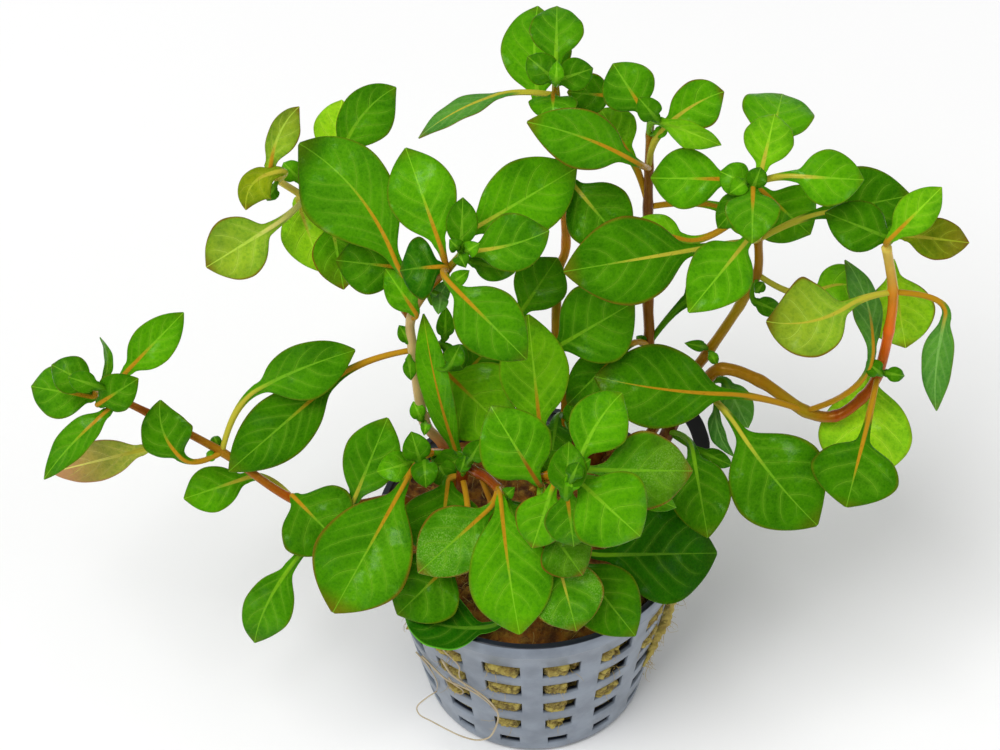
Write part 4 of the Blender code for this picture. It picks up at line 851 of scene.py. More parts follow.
# Each look and the leaves that have it. The others have the plain look
LOOKS = {
    Look("deep"): "low_left_3 low_left_8 low_left_9 left_2 left_11 fore_left_3 fore_left_5 low_left_12",
    Look("leaf"): "low_left_6 low_left_10 left_8 tall_1 tall_6 right_8 front_7",
    Look("bright"): "left_7 front_1 tall_2 right_4 tall_4 bowed_1",
    Look("leaf", "green"): "high_left_7 back_1 back_2 back_5 low_left_11",
    Look("mid", "yellow"): "low_left_4 right_2 right_7",
    Look("lime", "green"): "high_left_6 bowed_7",
    Look("deep", "yellow"): "back_3 right_10",
    Look("mid"): "right_3 right_9",
    Look("mid", "green"): "back_4 front_5",
    Look("deep", "green"): "low_right_2 front_10",
    Look("leaf", "yellow", 0.1): "low_left_1",
    Look("deep", "orange", 0.35): "low_left_2",
    Look("rosy", "yellow", 0.3, 0.9, "pink", 0.8): "low_left_5",
    Look("pale_olive", "pale", 0.2, 0.9, "red", 0.15): "high_left_1",
    Look("pale_olive", "orange", 0.3, 1.0, "red", 0.25): "high_left_2",
    Look("olive", "yellow", 0.4, 0.9): "high_left_3",
    Look("lime", "yellow", 0.5): "high_left_4",
    Look("mid", "yellow", 0.3, 1.0, "red", 0.25): "high_left_5",
    Look("leaf", "orange", 0.5): "left_1",
    Look("dark"): "left_4",
    Look("mid", "orange", 0.9): "left_6",
    Look("mid", "brown"): "front_2",
    Look("mid", "yellow", 0.3): "left_9",
    Look("leaf", "yellow"): "left_10",
    Look("deep", "yellow", 0.6, 0.7): "right_1",
    Look("leaf", "orange", 0.5, 0.8): "tall_3",
    Look("bluish", "yellow", 0.8, 0.8): "back_7",
    Look("deep", "orange", 0.4, 0.8): "tall_5",
    Look("mid", "yellow", 0.7, 0.9): "tall_7",
    Look("bright", "green"): "tall_8",
    Look("mid", "yellow", 0.5): "right_5",
    Look("bright", "yellow"): "right_6",
    Look("olive", "yellow", 0.5, 1.0, "red", 0.45): "bowed_2",
    Look("pale_olive", "yellow", 0.9, 1.0, "red", 0.25): "bowed_3",
    Look("bluish", "orange", 0.1): "bowed_4",
    Look("lime", "yellow", 0.6, 0.9): "bowed_5",
    Look("bright", "yellow", 0.6): "right_11",
    Look("bluish"): "bowed_6",
    Look("deep", "orange", 0.6): "bowed_8",
    Look("deep", "orange", 0.8): "bowed_9",
    Look("deep", "yellow", 0.3): "low_right_1",
    Look("dark", "green", 0.2, 0.1): "low_right_3",
    Look("mid", "green", 0.1, 0.4): "front_3",
    Look("leaf", "green", 0.1, 1.0, "red", 0.15, 0.35): "front_4",
    Look("mid", "orange", 0.0, 0.9): "front_6",
    Look("deep", "green", 0.1, 1.0, "red", 0.1, 0.2): "front_8",
    Look("leaf", "yellow", 0.6, 0.9, "red", 0.0, 0.45): "front_9",
    Look("mid", "orange", 0.5): "fore_left_1",
    Look("leaf", "orange", 0.4, 1.0, "red", 0.0, 0.55): "fore_left_2",
    Look("leaf", "orange", 0.45, 0.8): "fore_left_4",
    Look("dark", "brown", -0.2, 1.0, "green"): "fore_left_6",
    Look("leaf", "yellow", 0.3): "low_left_13",
}
LOOK_OF = {name: look for look, names in LOOKS.items() for name in names.split()}
PLAIN_LOOK, DRIED_LOOK = Look("mid"), Look("dried", "brown", 0.5, 0.8)
YOUNG_LOOK = Look("deep", "young", 0.2, 0.2)
SMALL_TONES = {("bowed_stem", 2): "bluish", ("left_stem", 5): "bluish", ("bowed_stem", 11): "deep"}
print(len(LOOKS), "looks for", len(LOOK_OF), "leaves")

# %% [markdown]
# ## Leaf finish
# One material serves every leaf, because each leaf's own numbers are stored on its points:
# the share across and along, the distance from the midrib, the number of side veins, and
# the colours. The veins are drawn by arithmetic: a side vein is where the share along, less
# a lean and a bend with the share across, times the number of veins, is a whole number.

# %% Veins by arithmetic
# Where each pattern starts and ends to change, and its share before and after
SHOWS = {
    "vein_across": (0.50, 0.95, 1.0, 0.0), "vein_foot": (0.04, 0.16), "vein_small": (1.0, 2.6, 0.25, 1.0),
    "vein_tip": (0.66, 0.90, 1.0, 0.0), "vein_line": (0.04, 0.14, 1.0, 0.0),
    "vein_glow": (0.0, 0.9, 0.34, 0.0),
    "rib_half": (-0.1, 0.95, 0.40, 0.07), "rib_line": (0.60, 1.15, 1.0, 0.0),
    "rib_colour": (-0.25, 0.12, 1.0, 0.0),
    "tone_and_light_patches": (0.38, 0.66, 0.0, 0.8), "tone_and_shade_patches": (0.32, 0.47, 0.55, 0.0),
    "mottle": (0.44, 0.66, 0.0, 0.62), "painted_margin_shade": (0.35, 1.0, 0.0, 0.7),
    "small_cells": (0.0, 0.10, 0.12, 0.0),
    "edge": (0.90, 1.0), "end": (0.82, 1.0, 0.0, 0.8), "blush": (0.15, 0.85), "specks": (0.40, 0.75),
    "sheen_speck_patches": (0.40, 0.60), "stalk": (-0.50, -0.20, 1.0, 0.0), "dull": (0.30, 0.75, 0.36, 0.52),
    "coat": (0.54, 0.72, 0.0, 0.26),
}
VEIN_WANDER, SIDE_VEIN_SHARE = 0.14, 0.68

leaf_finish = Finish("leaf_blade", roughness=0.38)
calc, blend = leaf_finish.calc, leaf_finish.blend


def show(pattern, value):
    """The share of a pattern where a value is so high."""
    return leaf_finish.ease(value, *SHOWS[pattern])


across, along_blade, from_rib = leaf_finish.stored_numbers("blade")
vein_number, vein_space, underside = leaf_finish.stored_numbers("veins")
outwards = calc("ABSOLUTE", across)
lean = calc("MULTIPLY", outwards, SIDE_VEIN_LEAN)
bend = calc("MULTIPLY", calc("MULTIPLY", outwards, outwards), SIDE_VEIN_BEND)
along_vein = calc("SUBTRACT", calc("SUBTRACT", along_blade, lean), bend)
offset = calc("MULTIPLY", calc("GREATER_THAN", across, 0.0), VEIN_OFFSET)
wandered = calc("MULTIPLY_ADD", leaf_finish.noise(grain=2.2 * MM, detail=1.0), VEIN_WANDER, offset)
vein_phase = calc("MULTIPLY_ADD", along_vein, vein_number, wandered)
vein_distance = calc("MULTIPLY", calc("PINGPONG", vein_phase, 0.5), vein_space)
vein_fade = calc("MULTIPLY", show("vein_across", outwards), show("vein_foot", along_blade))
vein_fade = calc("MULTIPLY", vein_fade, show("vein_small", vein_space))
vein_fade = calc("MULTIPLY", vein_fade, show("vein_tip", along_blade))
side_vein = calc("MULTIPLY", show("vein_line", vein_distance), vein_fade)
vein_glow = calc("MULTIPLY", show("vein_glow", vein_distance), vein_fade)
rib_distance = calc("DIVIDE", calc("ABSOLUTE", from_rib), show("rib_half", along_blade))
print("veins take", len(leaf_finish.tree.nodes), "nodes")

# %% Leaf tones
VEIN_LIFT, VEIN_TONE, VEIN_TONE_SHARE = (2.0, 1.60, 3.0), (0.36, 0.56, 0.045), 0.20
# Wide patches of lighter and darker green: partly the blade's own uneven tone, partly painted light and
# shade, as where one half of a leaf is lit and the other shaded
TONE_AND_LIGHT_PATCH, TONE_AND_SHADE_PATCH, MOTTLE_SHADE = (1.45, 1.28, 1.0), (0.60, 0.74, 0.5), (0.56, 0.74, 0.7)
# Painted shade: the blade's green darkens towards its margins
PAINTED_MARGIN_SHADE, SHEEN_SPECK_TONE = (0.68, 0.78, 0.7), (0.30, 0.50, 0.10)
UNDERSIDE_TONE, UNDERSIDE_SHARE = (0.20, 0.34, 0.08), 0.45

leaf_tone, _ = leaf_finish.stored("tone")
rib_tone, rib_reach = leaf_finish.stored("rib")
margin_tone, margin_share = leaf_finish.stored("margin")
# The first stored number is how strongly pale specks paint a silvery sheen on the blade
frost, blush, _ = leaf_finish.stored_numbers("extras")
patches = leaf_finish.noise(grain=6.0 * MM)
mottle = leaf_finish.noise(grain=0.6 * MM, detail=5.0)
small_cells = leaf_finish.cell_walls(0.62 * MM)
vein_green = blend(VEIN_TONE_SHARE, blend(1.0, leaf_tone, VEIN_LIFT, "MULTIPLY"), VEIN_TONE)
tone = leaf_tone
for share, shade in ((show("tone_and_light_patches", patches), TONE_AND_LIGHT_PATCH),
                     (show("tone_and_shade_patches", patches), TONE_AND_SHADE_PATCH),
                     (show("mottle", mottle), MOTTLE_SHADE), (show("painted_margin_shade", outwards), PAINTED_MARGIN_SHADE)):
    tone = blend(share, tone, shade, "MULTIPLY")
at_edge = calc("MULTIPLY", show("edge", outwards), margin_share)
at_end = calc("MULTIPLY", show("end", along_blade), margin_share)
# Painted sheen: fine pale specks, in patches, paint a silvery gloss over the blades whose look asks for it
sheen_speck_share = calc("MULTIPLY", show("specks", leaf_finish.noise(grain=0.22 * MM)), show("sheen_speck_patches", patches))
to_reach = calc("SUBTRACT", along_blade, rib_reach)
for share, colour in ((vein_glow, vein_green), (show("small_cells", small_cells), vein_green),
                      (calc("MAXIMUM", at_edge, at_end), margin_tone),
                      (calc("MULTIPLY", blush, show("blush", along_blade)), margin_tone),
                      (calc("MULTIPLY", frost, sheen_speck_share), SHEEN_SPECK_TONE),
                      (calc("MULTIPLY", side_vein, SIDE_VEIN_SHARE), vein_green),
                      (show("rib_line", rib_distance),
                       blend(show("rib_colour", to_reach), vein_green, rib_tone)),
                      (calc("MULTIPLY", underside, UNDERSIDE_SHARE), UNDERSIDE_TONE),
                      (show("stalk", along_blade), rib_tone)):
    tone = blend(share, tone, colour)
leaf_finish.give("Base Color", tone)
print("and tones bring them to", len(leaf_finish.tree.nodes))

# %% Leaf gloss and relief
WET_PATCHES, WET_ROUGHNESS = (0.50, 0.66), 0.18
CELL_RELIEF, MOTTLE_RELIEF = 0.8, 0.5

wet = leaf_finish.noise(grain=4.5 * MM, detail=4.0, roughness=0.6)
leaf_finish.give("Roughness", leaf_finish.ease(wet, *WET_PATCHES, show("dull", mottle), WET_ROUGHNESS))
leaf_finish.give("Specular IOR Level", 0.16)
leaf_finish.give("Specular Tint", (0.50, 1.0, 0.05))
leaf_finish.give("Coat Weight", show("coat", wet))
leaf_finish.give("Coat Roughness", 0.20)
leaf_finish.give("Subsurface Weight", 0.10)
leaf_finish.give("Subsurface Scale", 0.6 * MM)
leaf_finish.give("Subsurface Radius", (0.6, 1.0, 0.1))
furrows = calc("ADD", side_vein, calc("MULTIPLY", mottle, MOTTLE_RELIEF))
leaf_finish.bump(calc("SUBTRACT", calc("MULTIPLY", small_cells, CELL_RELIEF), furrows), 0.10 * MM, 0.8)
print("leaf material with", len(leaf_finish.tree.nodes), "nodes")

# %% [markdown]
# ## The leaves
# Every row now becomes a mesh with its look stored on it. The large leaves stand for their
# own solids. The solid of a stem holds the small leaves too, so those of one stem are joined
# into one piece beside the stem's skin.

# %% Make the leaves
LEAF_FINE, LEAF_COARSE = (12, 46, 17), (6, 22, 9)
SMALL_SEED, SMALL_FOLD = 1000, 12


def leaf_mesh(name, leaf, look, seed, fineness):
    """A leaf's skin, with its numbers and its look stored on each point."""
    rings, blade_values, vein_values = leaf_rings(leaf, seed, fineness)
    mesh = skin(name, rings)
    store(mesh, "blade", blade_values)
    store(mesh, "veins", vein_values)
    for value_name, colour in (("tone", (*TONES[look.tone], 1.0)), ("rib", (*RIBS[look.rib], look.reach)),
                               ("margin", (*EDGES[look.edge], look.margin))):
        store(mesh, value_name, np.broadcast_to(np.array(colour), rings.shape[:2] + (4,)))
    store(mesh, "extras", np.broadcast_to(np.array((look.frost, look.blush, 0.0)), rings.shape))
    return mesh


own_nodes = set(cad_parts)
for number, (key, leaf) in enumerate(LEAVES.items()):
    name = "_leaf_".join(key.rsplit("_", 1))
    made = leaf_mesh(name, leaf, LOOK_OF.get(key, PLAIN_LOOK), number, LEAF_FINE)
    finish_piece(f"{name}_blade", made, leaf_finish, "leaf", *{name} & own_nodes)

small_meshes = {stem_name: [] for stem_name in STEMS}
for number, leaf in enumerate(SMALL_LEAVES):
    usual_tone = ("mid", "deep", "deep")[number % 3]
    look = YOUNG_LOOK._replace(tone=SMALL_TONES.get((leaf.stem, leaf.joint), usual_tone))
    folded = leaf._replace(fold=leaf.fold + SMALL_FOLD)
    small_meshes[leaf.stem].append(leaf_mesh("small_leaf", folded, DRIED_LOOK if leaf.dried else look,
                                             SMALL_SEED + number, LEAF_COARSE))
for stem_name, meshes in small_meshes.items():
    if meshes:
        joined = merged(f"{stem_name}_small_leaves", meshes)
        finish_piece(f"{stem_name}_small_leaves", joined, leaf_finish, "leaf")
        print(stem_name, len(meshes), "small leaves")

# %% [markdown]
# ## The net pot
# The pot is moulded from plastic: a tapering wall with a lip, pierced by fifteen columns of
# five windows. Its colour holds painted light and shade: the outer wall is a lit grey-blue, the
# inside, the window edges and the top of the rim a shaded near-black. One grid of angles and
# heights gives the wall. The faces over the windows are left out, Solidify gives the wall its
# thickness, and Bevel rounds every edge.

# %% Sizes of the pot
RIM_RADIUS, BASE_RADIUS = 27.0 * MM, 20.0 * MM
LIP_HEIGHT, LIP_STEP = 3.2 * MM, 0.8 * MM
LIP_DRAFT, LIP_ROUNDING = 0.05 * MM, 0.3 * MM
FOOT_ROUNDING, FOOT_STEPS = 1.6 * MM, 5
WALL = 1.1 * MM
WALL_SLOPE = (RIM_RADIUS - BASE_RADIUS) / POT_HEIGHT
WINDOW_COLUMNS = 15
COLUMN_PITCH = 2 * np.pi / WINDOW_COLUMNS
FIRST_COLUMN = math.radians(-14.3)
# Each row of windows: its middle height and its height in mm, and its share of a column's width
WINDOW_ROWS = ((30.3, 3.8, 0.63), (23.6, 3.8, 0.63), (17.0, 3.5, 0.61), (10.6, 3.1, 0.53), (4.2, 2.2, 0.42))
SLOT_OUTER, SLOT_INNER, SLOT_SHARE = 15.0 * MM, 8.5 * MM, 0.42
RIB_STEPS, WINDOW_STEPS = 3, 5
EDGE_WIDTH, EDGE_STEPS, SHARP_ANGLE = 0.22 * MM, 2, math.radians(40)


def wall_radius(height):
    """The pot's outer radius at a height, from the foot to the rim."""
    return BASE_RADIUS + (RIM_RADIUS - BASE_RADIUS) * height / POT_HEIGHT


def turned(radius, angle, height):
    """Places around the pot's axis: an angle of 0 is in front, and it grows to the right."""
    return stacked(radius * np.sin(angle), -radius * np.cos(angle), height)


print("pot", RIM_RADIUS / MM, "mm in radius at the rim")

# %% Net pot
def pot_profile():
    """Radius, height and window share of each ring, from the rim down and in to the slots. The
    share is above 0 where a window or slot begins at that ring and ends at the next one."""
    lip_foot = POT_HEIGHT - LIP_HEIGHT
    rings = [(RIM_RADIUS, POT_HEIGHT, 0.0),
             (RIM_RADIUS - LIP_DRAFT, lip_foot + LIP_ROUNDING, 0.0),
             (wall_radius(lip_foot) + LIP_STEP / 2, lip_foot, 0.0),
             (wall_radius(lip_foot) - LIP_STEP / 2, lip_foot - LIP_STEP / 2, 0.0)]
    for middle, high, share in WINDOW_ROWS:
        top, bottom = (middle + high / 2) * MM, (middle - high / 2) * MM
        rings.append((wall_radius(top) - LIP_STEP / 2, top, share))
        rings.append((wall_radius(bottom) - LIP_STEP / 2, bottom, 0.0))
    for angle in np.linspace(0, np.pi / 2, FOOT_STEPS):
        rings.append((wall_radius(FOOT_ROUNDING) - LIP_STEP / 2 - FOOT_ROUNDING * (1 - math.cos(angle)),
                      FOOT_ROUNDING * (1 - math.sin(angle)), 0.0))
    return np.array(rings + [(SLOT_OUTER, 0.0, SLOT_SHARE), (SLOT_INNER, 0.0, 0.0)])


def pot_mesh():
    """The profile's rings, each with evenly spaced columns. The share of a column that its window
    takes moves the points beside it: the angle is the column's middle plus the share times half
    the pitch. A fan closes the middle of the base."""
    rings = pot_profile()
    windows = rings[:, 2] > 0
    openings = np.where(windows, rings[:, 2], np.roll(rings[:, 2], 1))
    filled = np.nonzero(openings > 0)[0]
    openings = np.interp(np.arange(len(rings)), filled, openings[filled])[:, None]
    in_window = np.linspace(-0.5, 0.5, WINDOW_STEPS + 1)
    in_rib = np.linspace(0, 1, RIB_STEPS + 1)[1:-1]
    shares = np.concatenate([openings * in_window, openings / 2 + (1 - openings) * in_rib], axis=1)
    angles = FIRST_COLUMN + COLUMN_PITCH * (np.arange(WINDOW_COLUMNS)[None, :, None] + shares[:, None, :])
    angles = angles.reshape(len(rings), -1)
    points = turned(rings[:, :1], angles, rings[:, 1:2]).reshape(-1, 3)
    around = angles.shape[1]
    index = np.arange(len(points)).reshape(len(rings), around)
    after = np.roll(index, -1, axis=1)
    quads = np.stack((index[:-1], index[1:], after[1:], after[:-1]), axis=-1)
    in_opening = np.arange(around) % (WINDOW_STEPS + RIB_STEPS) < WINDOW_STEPS
    solid = ~(windows[:-1, None] & in_opening[None])
    fan = np.stack((index[-1], np.full(around, len(points)), after[-1]), axis=-1)
    mesh = bpy.data.meshes.new("net_pot_wall")
    mesh.from_pydata(points.tolist() + [(0.0, 0.0, 0.0)], [], quads[solid].tolist() + fan.tolist())
    mesh.shade_smooth()
    return mesh


print("pot profile of", len(pot_profile()), "rings")

# %% Pot finish
# Painted light and shade: two lit grey-blues, in clouds, for the outer wall, and a shaded near-black for the
# inside, the window edges and the rim's top
POT_LIT_GREYS, POT_PAINTED_SHADE = ((0.150, 0.180, 0.225), (0.225, 0.265, 0.325)), (0.012, 0.016, 0.028)
INSIDE_SHOWS = (0.75 * MM, 1.1 * MM)
RIM_SHOWS = (POT_HEIGHT - 0.22 * MM, POT_HEIGHT - 0.05 * MM)
HAZE_SHOWS = (0.3, 0.7)

pot_finish = Finish("pot_plastic", roughness=0.33)
pot_x, pot_y, pot_z = pot_finish.split(pot_finish.places)
x_squared, y_squared = (pot_finish.calc("MULTIPLY", value, value) for value in (pot_x, pot_y))
radial = pot_finish.calc("SQRT", pot_finish.calc("ADD", x_squared, y_squared))
inwards = pot_finish.calc("SUBTRACT", pot_finish.calc("MULTIPLY_ADD", pot_z, WALL_SLOPE, BASE_RADIUS), radial)
painted_shade_share = pot_finish.calc("MAXIMUM", pot_finish.ease(inwards, *INSIDE_SHOWS),
                             pot_finish.ease(pot_z, *RIM_SHOWS))
haze = pot_finish.noise(grain=5.0 * MM, detail=4.0)
lit_pot_grey = pot_finish.blend(pot_finish.ease(haze, *HAZE_SHOWS), *POT_LIT_GREYS)
pot_finish.give("Base Color", pot_finish.blend(painted_shade_share, lit_pot_grey, POT_PAINTED_SHADE))
pot_finish.bump(pot_finish.noise(grain=0.4 * MM), distance=0.02 * MM)
pot = finish_piece("net_pot_wall", pot_mesh(), pot_finish, "pot", "net_pot")
wall = pot.modifiers.new("wall", "SOLIDIFY")
wall.thickness = WALL
wall.offset = -1.0
wall.use_even_offset = True
rounded = pot.modifiers.new("rounded_edges", "BEVEL")
rounded.width = EDGE_WIDTH
rounded.segments = EDGE_STEPS
rounded.limit_method = "ANGLE"
rounded.angle_limit = SHARP_ANGLE
print("net pot with", WINDOW_COLUMNS * len(WINDOW_ROWS), "windows")

# %% [markdown]
# ## Rockwool
# The pot is filled with rockwool, a felt of mineral fibres, stained brown on top. The plug is
# a turned surface of angle and height. Each window has a share that the wool fills, from the
# left: there the radius grows and the wool bulges out, and the rest of the window is a hollow,
# painted near-black as shade. Sines of several pitches, without their signs, add round lumps
# with sharp creases, and the wool's tone follows them as painted light and shade: lighter on
# the lumps, darker in the creases.

# %% Full and hollow windows
# The share of each window that is full, from the top one down, for the columns seen in front
FRONT_FILLS = {
    12: (0.2, -0.4, -0.4, -0.4, -0.4), 13: (0.4, 0.3, -0.4, -0.4, -0.4), 14: (1.5, 1.1, 0.9, -0.3, -0.4),
    0: (1.2, 1.4, 1.4, 0.9, -0.4), 1: (0.9, 0.75, 0.85, 0.75, -0.4), 2: (0.6, 0.5, 0.9, -0.4, -0.4),
    3: (1.5, 1.5, 0.2, -0.4, -0.4),
}
OTHER_FILLS, FILLS_SEED = (-0.1, 1.4), 7
FILL_SHARPNESS, RAGGEDNESS, WINDOW_ROUNDING = 5, 0.3, 6
LUMP_STRENGTHS, LUMP_PITCHES, LUMP_SUM = (1.0, 0.7, 0.5, 0.35, 0.25), (0.5, 1.2), 2.8
LUMP_TURN = 6.28


def lumps(x, y, z, pitch, seed):
    """A sum of sines in random directions, from -1 to 1, whose waves are about so long."""
    chance = np.random.default_rng(seed)
    total = np.zeros(np.broadcast(x, y, z).shape)
    for strength in LUMP_STRENGTHS:
        turn = unit(chance.normal(size=3)) * 2 * np.pi / (pitch * chance.uniform(*LUMP_PITCHES))
        total = total + strength * np.sin(turn[0] * x + turn[1] * y + turn[2] * z
                                          + chance.uniform(0, LUMP_TURN))
    return total / LUMP_SUM


def window_fills():
    """The full share of every window: a row of the array for each row of windows."""
    fills = np.random.default_rng(FILLS_SEED).uniform(*OTHER_FILLS, (len(WINDOW_ROWS), WINDOW_COLUMNS))
    for column, shares in FRONT_FILLS.items():
        fills[:, column] = shares
    return fills


def window_bulge(angles, heights, ragged):
    """Inside a window, five times the full share less the share of the way across, with a ragged
    edge, and kept from -1, a hollow, to 1, a bulge. Outside the windows it is 0."""
    columns = (angles - FIRST_COLUMN) / COLUMN_PITCH
    column = np.round(columns).astype(int) % WINDOW_COLUMNS
    across = (columns - np.round(columns)) * 2
    total = np.zeros(np.broadcast(angles, heights).shape)
    for (middle, high, share), fills in zip(WINDOW_ROWS, window_fills()):
        full = fills[column] - (across / share + 1) / 2 + RAGGEDNESS * ragged
        upright = (heights / MM - middle) / (high / 2)
        inside = (np.clip(1 - (across / share)**WINDOW_ROUNDING, 0, 1)
                  * np.clip(1 - upright**WINDOW_ROUNDING, 0, 1))
        total = total + np.clip(full * FILL_SHARPNESS, -1, 1) * inside
    return total


print("windows with wool:", int((window_fills() > RAGGEDNESS).sum()))

# %% Rockwool plug
WOOL_CROWN = 1.0 * MM
WOOL_AROUND, WOOL_UP, WOOL_IN, INNERMOST = 480, 130, 56, 0.004
WOOL_GAP, WOOL_FLOOR_GAP = 0.5 * MM, 0.4 * MM
FOOT_BAND, FOOT_TAPER = 1.4 * MM, 0.5
BULGE, HOLLOW = 1.5 * MM, 4.0 * MM
EDGE_LUMPS, BIG_LUMPS, SMALL_LUMPS = (1.8 * MM, 3), (3.4 * MM, 1), (1.7 * MM, 2)
BIG_SHARE, SMALL_SHARE = 1.2, 0.9
SIDE_RELIEF, CROWN_RELIEF, CROWN_EDGE = 0.55, 0.8, 0.93


def wool_mesh():
    """Rings up the side and then in over the crown. The side's radius follows the inside of the
    wall plus the bulge; lumps move the side in and out and the crown up and down."""
    up = np.linspace(0, 1, WOOL_UP)
    around = 2 * np.pi * np.arange(WOOL_AROUND) / WOOL_AROUND
    floor_height = WALL + WOOL_FLOOR_GAP
    heights = floor_height + (WOOL_TOP - floor_height) * up
    inner = (wall_radius(heights) - LIP_STEP / 2 - WALL - WOOL_GAP
             - np.maximum(0, FOOT_BAND - (heights - floor_height)) * FOOT_TAPER)
    ragged = lumps(inner[:, None] * np.sin(around), inner[:, None] * np.cos(around),
                   heights[:, None], *EDGE_LUMPS)
    bulge = window_bulge(around[None], heights[:, None], ragged)
    top_share = np.linspace(1, INNERMOST, WOOL_IN)[1:]
    bulge = np.vstack((bulge, np.zeros((len(top_share), WOOL_AROUND))))
    radius = (np.concatenate((inner, inner[-1] * top_share))[:, None]
              + np.where(bulge > 0, BULGE, HOLLOW) * bulge)
    height = np.concatenate((heights, WOOL_TOP + WOOL_CROWN * (1 - top_share**2)))[:, None]
    x, y = radius * np.sin(around), -radius * np.cos(around)
    lumpy = (BIG_SHARE * abs(lumps(x, y, height, *BIG_LUMPS))
             + SMALL_SHARE * abs(lumps(x, y, height, *SMALL_LUMPS)))
    near_crown = np.clip((up - CROWN_EDGE) / (1 - CROWN_EDGE), 0, 1)
    on_top = np.concatenate((near_crown, np.ones(len(top_share))))[:, None]
    radius = radius + lumpy * MM * SIDE_RELIEF * (1 - on_top)
    height = height + lumpy * MM * CROWN_RELIEF * on_top
    mesh = skin("rockwool_felt", turned(radius, around, height))
    store(mesh, "wool", stacked(lumpy, bulge, on_top))
    return mesh


print("wool of", WOOL_UP + WOOL_IN - 1, "rings of", WOOL_AROUND, "points")

# %% Rockwool finish
# From the painted shade in the wool's creases to the painted light on its lump tops; the fine fibre grain
# also moves between them
SIDE_TONES = (0.10, 0.060, 0.010), (0.62, 0.50, 0.115)
SIDE_STAIN, HOLLOW_PAINTED_SHADE = (0.22, 0.120, 0.016), (0.010, 0.007, 0.004)
CROWN_TONES, CROWN_FIBRE = ((0.10, 0.026, 0.001), (0.34, 0.120, 0.003)), (0.52, 0.30, 0.030)
GRAIN_AND_LIGHT_SHOWS, STAIN_SHOWS, HOLLOW_SHOWS = (0.35, 0.85), (0.45, 0.75, 0.0, 0.55), (-0.5, 0.1, 1.0, 0.0)
CLUMPS_SHOW, FIBRES_SHOW = (0.35, 0.65), (0.55, 0.95, 0.0, 0.5)
LUMP_LIGHT_SHARE, FIBRE_GRAIN = 0.35, 0.8

wool_finish = Finish("rockwool_felt", roughness=0.95)
lump_height, fullness, on_crown = wool_finish.stored_numbers("wool")
fibre_noise = wool_finish.noise(0.35 * MM, 6.0, wool_finish.stretched((1.0, 1.0, 1.6)), 0.7)
clumps = wool_finish.noise(grain=2.4 * MM, detail=4.0)
fine_grain = wool_finish.calc("MULTIPLY", fibre_noise, FIBRE_GRAIN)
# The grain adds the lump height to the fibres, so higher lumps are painted lighter and creases darker, on the
# side and on the crown
grain = wool_finish.calc("MULTIPLY_ADD", lump_height, LUMP_LIGHT_SHARE, fine_grain)
side_wool = wool_finish.blend(wool_finish.ease(grain, *GRAIN_AND_LIGHT_SHOWS), *SIDE_TONES)
side_wool = wool_finish.blend(wool_finish.ease(clumps, *STAIN_SHOWS), side_wool, SIDE_STAIN)
# Painted shade: the hollow windows turn near-black
side_wool = wool_finish.blend(wool_finish.ease(fullness, *HOLLOW_SHOWS), side_wool, HOLLOW_PAINTED_SHADE)
top_wool = wool_finish.blend(wool_finish.ease(clumps, *CLUMPS_SHOW), *CROWN_TONES)
top_wool = wool_finish.blend(wool_finish.ease(grain, *FIBRES_SHOW), top_wool, CROWN_FIBRE)
wool_finish.give("Base Color", wool_finish.blend(on_crown, side_wool, top_wool))
wool_finish.bump(fibre_noise, distance=0.45 * MM)
wool = finish_piece("rockwool_felt", wool_mesh(), wool_finish, "rockwool", "rockwool_plug")
print("rockwool", len(wool.data.vertices), "points")

# %% [markdown]
# ## Tufts and loose fibres
# Wool has pushed out of the windows on the right and hangs there as a ragged tuft, and loose
# fibres stand out of every full window and lie on the crown. Places are given on the wall: an
# angle, a height and how far out. All fibres are made at once, as arrays of three-sided threads.

# %% Tuft
# Places along the tuft: degrees round the pot, height and distance out (mm), then its radii (mm)
TUFT = ((76, 30.5, 1.3), (74, 28, 1.2), (71, 25, 0.8), (70, 21.5, 1.0), (67, 19, 0.3), (64, 16.5, 0.4),
        (60, 12.5, 0.1))
TUFT_RADII = (0.4, 0.75, 0.95, 0.9, 1.0, 1.0, 0.6)
TUFT_SIDES, TUFT_STEPS = 20, 14
TUFT_LUMPS, TUFT_CREASES, LUMP_SHARE, CREASE_SHARE = (2.6 * MM, 11), (1.2 * MM, 12), 0.8, 0.7
TUFT_FULLNESS, TUFT_SWELLING, TUFT_PAINTED_LIGHT, TUFT_END = 0.85, 0.5, 1.2, 0.02


def on_wall(angle, height, out):
    """Places so far (mm) outside the wall's windows, at an angle in degrees and a height in mm."""
    return turned(wall_radius(height * MM) - LIP_STEP / 2 + out * MM, np.radians(angle), height * MM)


def wall_path(places, steps):
    """A smooth path through rows of an angle, a height and a distance out of the wall."""
    return spline(on_wall(*np.array(places, float).T), steps)


def tuft_mesh():
    """A tube whose radius is a given one times one plus lumps of two pitches. Its ends close as
    the square root of a sine."""
    path = wall_path(TUFT, TUFT_STEPS)
    radii = spline(np.array(TUFT_RADII)[:, None] * MM, TUFT_STEPS)[:, 0]
    rings = round_rings(path, radii, TUFT_SIDES)
    x, y, z = np.moveaxis(rings, -1, 0)
    lumpy = LUMP_SHARE * lumps(x, y, z, *TUFT_LUMPS) + CREASE_SHARE * abs(lumps(x, y, z, *TUFT_CREASES))
    ends = np.sin(np.pi * np.linspace(TUFT_END, 1 - TUFT_END, len(path)))[:, None]**0.5
    swelling = ends * (TUFT_FULLNESS + TUFT_SWELLING * lumpy)
    mesh = skin("wool_tuft", path[:, None] + (rings - path[:, None]) * swelling[..., None])
    # Painted light: a constant added to the tuft's lump height lifts its tone out of the shade it hangs in,
    # and its creases are painted darker
    store(mesh, "wool", stacked(TUFT_PAINTED_LIGHT + lumpy, ends, 0 * ends))
    return mesh


